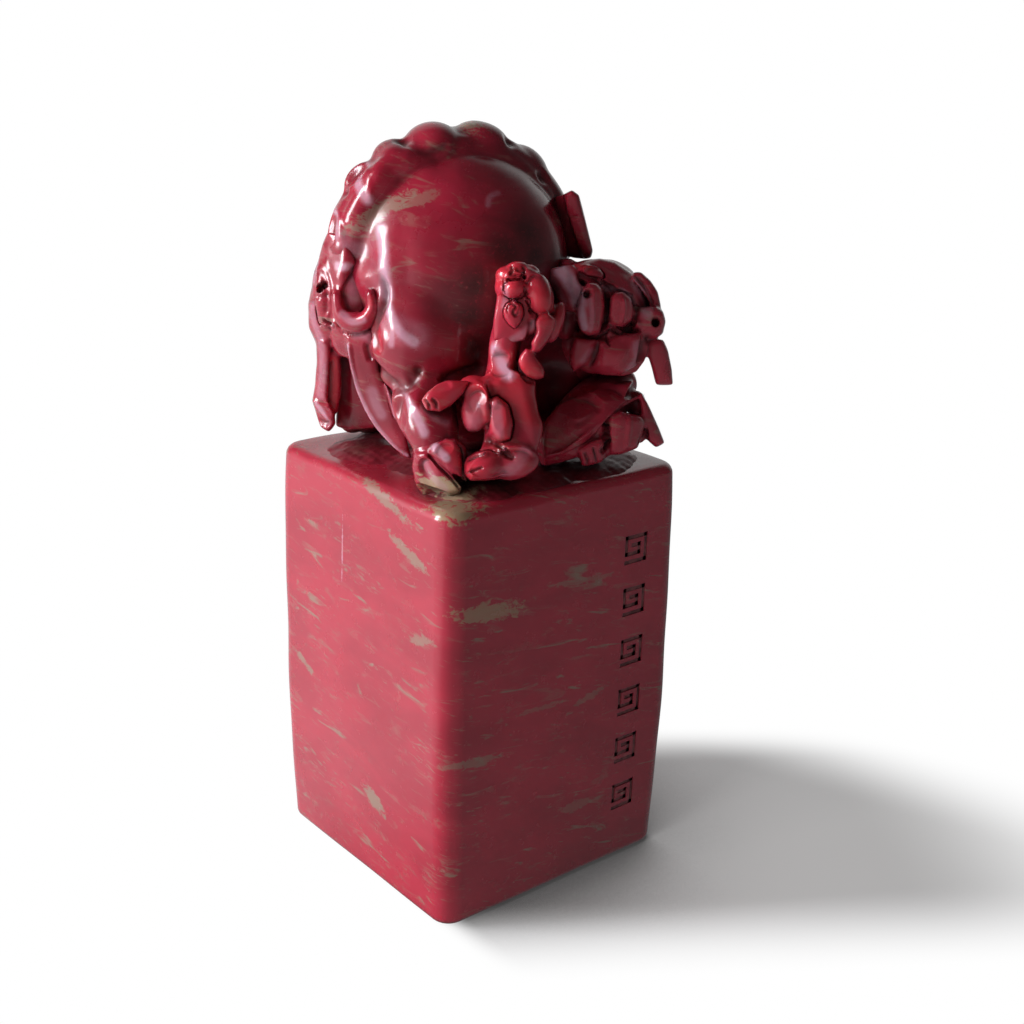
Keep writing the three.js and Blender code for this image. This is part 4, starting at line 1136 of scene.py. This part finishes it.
def make_foreleg(colours):
    """The near foreleg and paw, and the lower ends of the mane in front of it."""
    leg = Carving(0.16)
    leg.band([(620, 384, 1.0, 18), (600, 402, 4.5, 28), (574, 426, 8.2, 27), (552, 442, 10.4, 19)])
    leg.slab([(560, 404, 11.0), (600, 388, 8.0), (634, 380, 5.0), (645, 394, 5.2), (622, 402, 8.2), (607, 417, 10.4),
              (588, 437, 12.6), (560, 453, 14.2), (544, 459, 14.2), (541, 440, 13.0), (545, 420, 12.0)], 5.0, 2.2,
             1.0)
    leg.slab([(544, 456, 14.3), (560, 451, 14.3), (588, 435, 12.7), (606, 417, 10.4), (607, 428, 9.6),
              (592, 446, 11.2), (577, 457, 12.0), (558, 464, 12.8), (543, 466, 13.0)], 4.0, 0.8, 0.4)
    leg.slab([(640, 391, 6.2), (647, 402, 6.0), (656, 421, 5.2), (665, 443, 4.2), (656, 448, 4.8), (648, 441, 5.6),
              (642, 424, 6.2), (640, 406, 6.4)], 2.2, 1.1, 0.7)
    leg.slab([(608, 417, 9.8), (621, 411, 9.4), (641, 416, 7.6), (645, 423, 7.2), (641, 438, 7.4), (638, 448, 7.8),
              (620, 455, 9.2), (610, 455, 9.8), (607, 440, 10.0)], 3.0, 2.0, 1.3)
    leg.slab([(577, 449, 12.4), (592, 441, 12.0), (602, 438, 11.6), (606, 452, 11.2), (603, 461, 11.4),
              (591, 465, 12.2), (582, 467, 12.8)], 3.2, 1.2, 0.8)
    leg.lump(600, 445, 8.0, 12, 15, 2.6)
    leg.lump(640, 420, 3.2, 9, 24, 1.5)
    leg.lump(636, 404, 3.8, 10, 14, 1.7)
    leg.lump(545, 450, 9.6, 8, 16, 2.6)
    leg.fuse(18)
    leg.cut([(641, 394), (622, 402), (606, 417), (588, 437), (560, 453), (545, 459)], 0.6, -0.3, crisp=True)
    leg.cut([(600, 404), (588, 418), (574, 426)], 0.8, 0.3, dirt_and_shade=0.3)
    leg.shave((580, 410), 3.6, 0.5, (8, 14))
    leg.shave((612, 396), 3.0, 0.4, (-6, 20))
    leg.cut([(605, 418), (607, 432), (606, 446), (600, 454)], 0.8, 0.9, dirt_and_shade=1.0)
    leg.cut([(644, 428), (647, 440), (650, 448)], 0.7, 0.8, dirt_and_shade=1.0)
    leg.cut([(584, 452), (588, 460), (587, 467)], 0.32, 0.5, crisp=True)
    leg.cut([(593, 446), (596, 456), (597, 464)], 0.32, 0.5, crisp=True)
    leg.cut([(630, 414), (629, 430), (626, 450)], 0.8, -0.2)
    leg.ripple(0.03, 3.5, 19)
    nodes = ["right_foreleg", "right_fore_paw", "mane_lock_2", "chin_tuft"]
    leg.finish("right_foreleg_and_mane_ends", head_stone(colours), nodes)


def make_mane(colours):
    """The lock above the head, and the combed locks on the far side."""
    lock = Carving(0.14)
    lock.slab([(564, 194, 2.0), (572, 190, 2.0), (579, 195, 1.6), (582, 206, 1.2), (586, 222, 0.8), (590, 238, 0.4),
               (593, 251, 0.0), (591, 258, -0.2), (584, 259, 0.0), (578, 247, 0.6), (574, 234, 1.0), (569, 216, 1.4),
               (565, 204, 1.8)], 2.0, 1.1, 0.9)
    lock.slab([(555, 197, 0.2), (565, 194, 1.0), (568, 216, 0.8), (574, 236, 0.4), (580, 250, 0.0), (586, 259, -0.6),
               (574, 258, -1.2), (560, 254, -1.0), (554, 238, -0.6)], 2.4, 0.4, 0.0)
    lock.fuse(12)
    lock.cut([(567, 197), (569, 212), (574, 228), (580, 246)], 0.5, -0.25, crisp=True)
    lock.cut([(566, 216), (572, 218), (580, 216)], 0.5, 0.15, dirt_and_shade=0)
    lock.finish("mane_lock_above", head_stone(colours), ["mane_lock_3"])

    for node, facing, rows in (
        ("mane_lock_4", (1, 0, 0), ((17, -4, 24, 2.2), (18, -2.5, 18, 2.8), (18.2, -1, 12, 1.6))),
        ("mane_lock_5", (0.9, 0.4, 0), ((14.5, 1, 25, 2.2), (17, 4, 19, 2.8), (17.6, 6, 13, 1.6))),
        ("mane_lock_6", (1, 0, 0), ((17.6, -10.5, 20, 2.2), (18.6, -9.5, 14, 2.6), (18.6, -8.5, 8, 1.5))),
    ):
        lock = Carving(0.2)
        lock.limb(rod(*rows), 1.3, facing)
        lock.fuse(3)
        for shift in (-0.8, 0.8):
            lock.cut([tuple(knob(x + facing[0], y + facing[1] + shift, z)) for x, y, z, _ in rows], 0.5, 0.35,
                     dirt_and_shade=0.7)
        lock.finish(node + "_combed", red_stone(colours), [node])


def make_cub_body(colours):
    """The cub's body and legs, upright against the lion's flank."""
    cub = Carving(0.14)
    cub.slab([(486, 374, 18.8), (500, 366, 19.2), (520, 372, 19.2), (536, 381, 18.4), (536, 397, 18.8),
              (538, 411, 19.2), (543, 424, 19.3), (542, 436, 19.5), (537, 452, 20.1), (527, 465, 20.9),
              (514, 475, 21.7), (495, 480, 22.3), (470, 481, 22.7), (466, 470, 22.8), (478, 456, 22.0),
              (484, 440, 21.0), (485, 420, 20.4), (480, 400, 19.8), (478, 386, 19.2)], 6.5, 2.4, 1.3)
    cub.lump(512, 462, 20.4, 26, 17, 3.0, 8)
    cub.slab([(468, 386, 20.2), (478, 380, 20.2), (486, 384, 20.5), (489, 397, 20.9), (489.5, 410, 21.1),
              (487, 423, 21.2), (479, 432, 21.0), (468, 432, 20.7), (462, 423, 20.5), (461, 410, 20.3),
              (464, 397, 20.2)], 5.0, 2.0, 1.5)
    cub.slab([(489.5, 400, 20.6), (497, 396, 20.4), (508, 404, 20.4), (514, 424, 20.8), (511, 440, 21.2),
              (499, 443, 21.4), (489, 434, 21.2), (488.5, 416, 21.0)], 4.0, 1.8, 1.1)
    cub.lump(474, 388, 18.6, 16, 12, 2.2)
    cub.lump(486, 467, 21.6, 23, 13, 2.6, 8)
    cub.slab([(466, 458, 22.8), (476, 452, 22.8), (490, 450, 22.8), (500, 456, 22.8), (498, 470, 23.2),
              (488, 480, 23.3), (470, 481, 23.2), (464, 474, 23.2), (463, 465, 23.0)], 3.0, 1.3, 0.7)
    cub.band([(500, 386, 16.6, 16), (503, 362, 16.4, 14.5), (505, 343, 16.4, 15), (509, 322, 16.4, 14)], 2.8)
    cub.fuse(20)
    cub.cut([(489, 400), (490, 412), (488, 426), (483, 436)], 0.32, 0.4, dirt_and_shade=0.8)
    cub.cut([(488, 442), (500, 446), (509, 453), (516, 459)], 0.5, 0.5, dirt_and_shade=0.8)
    cub.cut([(494, 451), (503, 454), (515, 458)], 0.6, 0.6, dirt_and_shade=0.8)
    # painted shade and dirt in the crotch between arm, thigh and foot
    cub.press((478, 440), 1.6, 0.8, dirt_and_shade=1.0)
    cub.press((487, 441), 1.2, 0.6, dirt_and_shade=1.0)
    cub.shave((476, 400), 2.0, 0.35, (-12, 12))
    cub.shave((499, 418), 1.8, 0.3, (-6, 6))
    cub.shave((500, 365), 2.2, 0.4, (-6, -10))
    cub.cut([(519, 348), (518, 360), (521, 372), (528, 380), (538, 382)], 0.6, 0.5, dirt_and_shade=0.7)
    cub.cut([(484, 372), (492, 378), (502, 380), (512, 378)], 0.7, 0.25, dirt_and_shade=0.1)
    cub.cut([(466, 461), (475, 457), (487, 452)], 0.32, 0.5, crisp=True)
    cub.cut([(465, 474), (474, 471), (484, 467)], 0.32, 0.5, crisp=True)
    # painted highlights on the neck, arm, belly and thigh; bright red along the shoulder and flank
    cub.paint([(494, 350), (500, 362), (508, 374)], 1.5, milk_and_highlight=0.85)
    cub.paint([(475, 402), (472, 414), (475, 426)], 2.0, milk_and_highlight=0.25)
    cub.paint([(472, 388), (473, 398), (478, 406)], 0.5, milk_and_highlight=0.9)
    cub.paint([(496, 408), (498, 420), (502, 432)], 1.6, milk_and_highlight=0.3)
    cub.paint([(478, 391), (492, 391), (504, 398), (507, 420), (508, 440)], 0.9, ember=0.9)
    cub.paint([(526, 448), (518, 464), (506, 474)], 1.4, milk_and_highlight=0.3)
    # painted shade and dirt in the crotch and between the arm and the thigh
    cub.soil(((480, 444), 1.8, 1.0), ((472, 438), 1.2, 0.9), ((461, 440), 1.2, 0.9), ((490, 400), 0.8, 0.6),
             ((498, 445), 0.8, 0.7))
    cub.ripple(0.03, 3.0, 31)
    nodes = ["cub_body", "cub_thigh", "cub_hind_foot", "cub_arm", "cub_neck"]
    cub.finish("cub_body_and_legs", bright_stone(colours), nodes)


def make_cub_paw(colours):
    """The paw that the cub lays on the lion's haunch."""
    reach = Carving(0.13)
    reach.slab([(470, 381, 20.6), (448, 380, 21.2), (437, 384, 21.6), (427, 392, 21.8), (421, 400, 21.8),
                (426, 410, 22.0), (440, 412, 22.0), (452, 405, 21.8), (463, 394, 21.2)], 4.5, 1.7, 1.3)
    reach.fuse(16)
    reach.cut([(423, 399), (428, 404), (430, 411)], 0.34, 0.5, crisp=True)
    reach.cut([(431, 398), (436, 403), (437, 410)], 0.34, 0.45, crisp=True)
    reach.shave((440, 388), 1.8, 0.25, (0, 20))
    reach.finish("cub_reaching_paw", bright_stone(colours), ["cub_fore_paw"])


def make_cub_head(colours):
    """The cub's head with its open jaw."""
    head = Carving(0.12)
    head.slab([(499, 284, 18.8), (505, 271, 18.6), (518, 265, 18.4), (530, 268, 18.2), (541, 274, 17.8),
               (549, 284, 17.4), (554, 295, 17.0), (554, 312, 17.0), (541, 317, 18.0), (537, 331, 18.2),
               (524, 341, 18.6), (506, 344, 18.8), (493, 341, 18.4), (493, 322, 18.4), (496, 303, 18.8)], 7.0, 2.0,
              1.0)
    head.lump(518, 270, 17.8, 12, 8, 2.0)
    head.lump(506, 276, 17.8, 10, 9, 2.0)
    head.lump(502, 287, 17.8, 7, 10, 1.8)
    head.lump(529, 273, 17.4, 10, 8, 1.9)
    head.lump(515, 289, 19.0, 12, 9.5, 2.2, 10)
    head.lump(538, 293, 18.0, 13, 21, 2.7, 16)
    head.lump(556, 322, 15.6, 7.5, 20, 2.4, -16)
    head.slab([(503, 310, 20.6), (507, 303, 20.6), (515, 301, 20.6), (522, 305, 20.4), (524, 313, 20.4),
               (521, 322, 20.6), (515, 329, 20.6), (509, 325, 20.6), (504, 318, 20.6)], 2.4, 1.2, 0.7)
    head.slab([(539, 315, 20.0), (549, 313, 19.4), (556, 319, 19.0), (555, 328, 19.0), (548, 342, 19.2),
               (540, 352, 19.4), (533, 353, 19.8), (531, 343, 20.0), (537, 332, 20.2), (535, 322, 20.2)], 4.0, 1.4,
              1.2)
    head.slab([(520, 355, 19.8), (526, 348, 19.8), (533, 350, 19.6), (537, 358, 19.4), (542, 365, 19.2),
               (545, 371, 19.0), (544, 378, 19.0), (536, 380, 19.2), (527, 377, 19.6), (521, 370, 19.8),
               (518, 362, 19.8)], 4.0, 1.4, 1.2)
    head.fuse(14)
    head.cut([(525, 284), (526, 294), (529, 306), (534, 315)], 0.5, 0.45, dirt_and_shade=0.25)
    head.cut([(505, 280), (512, 280), (521, 279), (527, 276)], 0.35, 0.45, dirt_and_shade=1.0)
    head.cut([(504, 296), (511, 299), (519, 298), (525, 291)], 0.34, 0.45, dirt_and_shade=1.0)
    head.cut([(508, 315), (507, 307), (512, 303), (516, 307), (513, 312), (516, 316), (520, 311)], 0.24, 0.4,
             crisp=True)
    head.cut([(511, 265), (512, 270), (510, 276)], 0.34, 0.35)
    head.cut([(523, 265), (524, 271), (522, 277)], 0.34, 0.35)
    head.cut([(502, 278), (504, 284), (503, 294)], 0.34, 0.3, dirt_and_shade=0.6)
    head.cut([(531, 318), (530, 332), (525, 345)], 0.6, 0.3, dirt_and_shade=0.3)
    head.cut([(534, 354), (540, 356), (545, 360)], 0.4, 0.5, dirt_and_shade=0.8)
    head.press((529, 344), 0.9, 0.5, dirt_and_shade=0.9)
    # painted highlights on the face
    head.paint([(504, 284), (506, 296), (504, 308)], 0.7, milk_and_highlight=0.4)
    head.paint([(533, 324), (524, 334), (514, 340)], 1.0, milk_and_highlight=0.4)
    nodes = ["cub_head", "cub_ear", "cub_snout", "cub_jaw"]
    head.finish("cub_head_and_jaw", bright_stone(colours), nodes)


WHITE = (1, 1, 1, 1)
FLOOR_GREY = (0.8, 0.8, 0.8, 1)
FLOOR_HALF = 6  # metres
LIGHT_DISTANCE, LIGHT_AIM = 0.6, 0.05  # from the upright axis of the seal, and the height that lights point at


def add_light(name, size, energy, degrees, height, tone, mirrored):
    """A soft rectangular light that points at the seal; mirrored is its share in reflections."""
    lamp = bpy.data.lights.new(name, "AREA")
    lamp.shape = "RECTANGLE"
    lamp.size, lamp.size_y = size
    lamp.color, lamp.energy = tone, energy
    g = Graph(lamp)
    rays = g.add("LightPath").outputs
    share = g.add("MapRange", {"Value": rays["Is Glossy Ray"], "To Min": 1.0, "To Max": mirrored}).outputs[0]
    g.end(g.add("Emission", {"Color": WHITE, "Strength": share}), "OutputLight")
    light = bpy.data.objects.new(name, lamp)
    bpy.context.scene.collection.objects.link(light)
    turn = math.radians(degrees)
    place = Vector((LIGHT_DISTANCE * math.cos(turn), LIGHT_DISTANCE * math.sin(turn), height))
    aim = (place - Vector((0, 0, LIGHT_AIM))).to_track_quat("Z", "Y")
    light.matrix_world = Matrix.Translation(place) @ aim.to_matrix().to_4x4()
    return light


def floor_share(g, side):
    """1 on the part of the floor that shows a shadow, 0 where it is as white as the background.

    Lengths are in millimetres from the seal's upright axis, along lines that are turned as the shadow falls.
    """
    along = g.add("SeparateXYZ", {0: g.stretched(turn=(0, 0, -34))}).outputs
    kept = g.times(g.ramp(along[1], -41, -22), g.ramp(along[1], 32, 18))
    falling = g.plus(along[1], g.times(along[0], 0.73))
    kept = g.times(kept, g.times(g.ramp(falling, 82, 50), g.ramp(along[0], 112, 62)))
    return g.times(kept, g.times(g.ramp(along[0], -24, -8), g.ramp(side, -21, -16)))


def floor_material():
    """White paper with the seal's soft shadow; polished stone mirrors it brighter at the back left."""
    material = bpy.data.materials.new("pale_floor")
    g = Graph(material)
    rays = g.add("LightPath").outputs
    side = g.add("SeparateXYZ", {0: g.stretched()}).outputs[0]
    # painted contact shadow: the floor darkens near the seal's foot as its surroundings are shut out, but not on the
    # left side
    foot = g.plus(g.times(g.ramp(g.occlusion(42, samples=12), 0.44, 0.94), 0.85), 0.15)
    foot = g.math("MAXIMUM", foot, g.ramp(side, -16, -21))
    matte = g.add("BsdfDiffuse", {"Color": g.mix(foot, (0, 0, 0, 1), FLOOR_GREY)})
    lift = g.add("Emission", {"Color": WHITE, "Strength": g.times(foot, 0.3)})
    shadowed = g.add("AddShader", {0: matte.outputs[0], 1: lift.outputs[0]})
    white = g.add("Emission", {"Color": WHITE, "Strength": 1.0})
    seen = g.add("MixShader", {0: floor_share(g, side), 1: white.outputs[0], 2: shadowed.outputs[0]})
    plain = g.add("BsdfDiffuse", {"Color": FLOOR_GREY})
    glow = g.add("Emission", {"Color": (0.95, 0.97, 1, 1), "Strength": 0.08})
    lighting = g.add("AddShader", {0: plain.outputs[0], 1: glow.outputs[0]})
    direct = g.add("MixShader", {0: rays["Is Camera Ray"], 1: lighting.outputs[0], 2: seen.outputs[0]})
    behind = g.add("SeparateXYZ", {0: g.stretched(turn=(0, 0, 17))}).outputs[1]
    brightness = g.plus(g.times(g.ramp(behind, -6, 38), 0.50), 0.15)
    mirrored = g.add("Emission", {"Color": (0.93, 0.97, 1, 1), "Strength": brightness})
    g.end(g.add("MixShader", {0: rays["Is Glossy Ray"], 1: direct.outputs[0], 2: mirrored.outputs[0]}))
    return material


def make_floor():
    ground = bmesh.new()
    bmesh.ops.create_grid(ground, x_segments=2, y_segments=2, size=FLOOR_HALF)
    mesh = bpy.data.meshes.new("floor")
    ground.to_mesh(mesh)
    ground.free()
    mesh.materials.append(floor_material())
    floor = bpy.data.objects.new("floor", mesh)
    bpy.context.scene.collection.objects.link(floor)


def make_world():
    """White to the view, dim as a light, and in polished stone a paler wall behind the object."""
    world = bpy.data.worlds.new("studio")
    bpy.context.scene.world = world
    g = Graph(world)
    rays = g.add("LightPath").outputs
    way = g.add("TexCoord").outputs["Generated"]
    wall = g.add("VectorMath", {0: way, 1: (0.64, 0.77, 0.0)}, operation="DOT_PRODUCT").outputs["Value"]
    pale = g.add("MapRange", {"Value": wall, "From Min": 0.5, "From Max": 0.92, "To Max": 0.6}).outputs[0]
    shown = g.math("MAXIMUM", rays["Is Camera Ray"], rays["Is Transmission Ray"])
    shown = g.math("MAXIMUM", shown, g.times(pale, rays["Is Glossy Ray"]))
    soft = g.add("Background", {"Color": (1, 0.97, 0.96, 1), "Strength": 0.05})
    white = g.add("Background", {"Color": WHITE, "Strength": 1.0})
    g.end(g.add("MixShader", {0: shown, 1: soft.outputs[0], 2: white.outputs[0]}), "OutputWorld")


def make_camera():
    lens = bpy.data.cameras.new("camera")
    lens.sensor_width = SENSOR_WIDTH
    lens.lens = FOCAL_PIXELS / PICTURE_SIDE * SENSOR_WIDTH
    camera = bpy.data.objects.new("camera", lens)
    bpy.context.scene.collection.objects.link(camera)
    camera.matrix_world = Matrix.Translation(EYE * MM) @ VIEW_TURNED.to_4x4()
    bpy.context.scene.camera = camera
    bpy.context.scene.view_settings.view_transform = "Standard"


def make_stage():
    make_floor()
    add_light("window", size=(0.17, 0.40), energy=3.9, degrees=146, height=0.23, tone=(0.96, 0.96, 1.0),
              mirrored=0.47)
    room = add_light("room", size=(0.30, 0.34), energy=1.5, degrees=184, height=0.24, tone=(1.0, 0.97, 0.96),
                     mirrored=0)
    room.visible_glossy = False
    make_world()
    make_camera()


class SEAL_OT_shaft(bpy.types.Operator):
    """Cut the polished shaft with its side frets and printing face"""

    bl_idname = "seal.shaft"
    bl_label = "Shaft"

    def execute(self, context):
        make_shaft(context.scene.seal_sizes, context.scene.seal_colours)
        make_fret_ink(context.scene.seal_sizes, context.scene.seal_colours)
        return {"FINISHED"}


class SEAL_OT_ground(bpy.types.Operator):
    """Rough the ground under the knob"""

    bl_idname = "seal.ground"
    bl_label = "Ground"

    def execute(self, context):
        make_ground(context.scene.seal_colours)
        return {"FINISHED"}


class SEAL_OT_body(bpy.types.Operator):
    """Carve the lion's body, haunches and legs"""

    bl_idname = "seal.body"
    bl_label = "Body"

    def execute(self, context):
        make_body(context.scene.seal_colours)
        return {"FINISHED"}


class SEAL_OT_tail(bpy.types.Operator):
    """Carve the tail's curls and strands"""

    bl_idname = "seal.tail"
    bl_label = "Tail"

    def execute(self, context):
        make_tail(context.scene.seal_colours)
        return {"FINISHED"}


class SEAL_OT_paws(bpy.types.Operator):
    """Carve the lion's near hind paw and the two paws on the far side"""

    bl_idname = "seal.paws"
    bl_label = "Paws"

    def execute(self, context):
        make_paws(context.scene.seal_colours)
        return {"FINISHED"}


class SEAL_OT_head(bpy.types.Operator):
    """Carve the lion's head and ear"""

    bl_idname = "seal.head"
    bl_label = "Head"

    def execute(self, context):
        make_head(context.scene.seal_colours)
        return {"FINISHED"}


class SEAL_OT_foreleg(bpy.types.Operator):
    """Carve the lion's near foreleg with the mane's lower ends"""

    bl_idname = "seal.foreleg"
    bl_label = "Foreleg"

    def execute(self, context):
        make_foreleg(context.scene.seal_colours)
        return {"FINISHED"}


class SEAL_OT_mane(bpy.types.Operator):
    """Carve the lock above the head and the combed locks of the mane"""

    bl_idname = "seal.mane"
    bl_label = "Mane"

    def execute(self, context):
        make_mane(context.scene.seal_colours)
        return {"FINISHED"}


class SEAL_OT_cub(bpy.types.Operator):
    """Carve the cub that climbs her flank"""

    bl_idname = "seal.cub"
    bl_label = "Cub"

    def execute(self, context):
        make_cub_body(context.scene.seal_colours)
        make_cub_paw(context.scene.seal_colours)
        make_cub_head(context.scene.seal_colours)
        return {"FINISHED"}


class SEAL_OT_stage(bpy.types.Operator):
    """Set the floor, the lights, the background and the camera"""

    bl_idname = "seal.stage"
    bl_label = "Stage"

    def execute(self, context):
        make_stage()
        return {"FINISHED"}


STEPS = (SEAL_OT_shaft, SEAL_OT_ground, SEAL_OT_body, SEAL_OT_paws, SEAL_OT_tail, SEAL_OT_head, SEAL_OT_foreleg,
         SEAL_OT_mane, SEAL_OT_cub, SEAL_OT_stage)


class SEAL_PT_panel(bpy.types.Panel):
    """Sizes, colours and pieces of the seal"""

    bl_label = "Carved Seal"
    bl_idname = "SEAL_PT_panel"
    bl_space_type = "VIEW_3D"
    bl_region_type = "UI"
    bl_category = "Seal"

    def draw(self, context):
        layout = self.layout
        for group in (context.scene.seal_sizes, context.scene.seal_colours):
            box = layout.box()
            for name in group.__annotations__:
                box.prop(group, name)
        for step in STEPS:
            layout.operator(step.bl_idname)


CLASSES = (SealSizes, SealColours, *STEPS, SEAL_PT_panel)


def register():
    for item in CLASSES:
        bpy.utils.register_class(item)
    bpy.types.Scene.seal_sizes = bpy.props.PointerProperty(type=SealSizes)
    bpy.types.Scene.seal_colours = bpy.props.PointerProperty(type=SealColours)


def unregister():
    del bpy.types.Scene.seal_colours
    del bpy.types.Scene.seal_sizes
    for item in reversed(CLASSES):
        bpy.utils.unregister_class(item)


def main():
    register()
    for step in STEPS:
        group, name = step.bl_idname.split(".")
        getattr(getattr(bpy.ops, group), name)()
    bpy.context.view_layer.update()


if __name__ == "__main__":
    main()
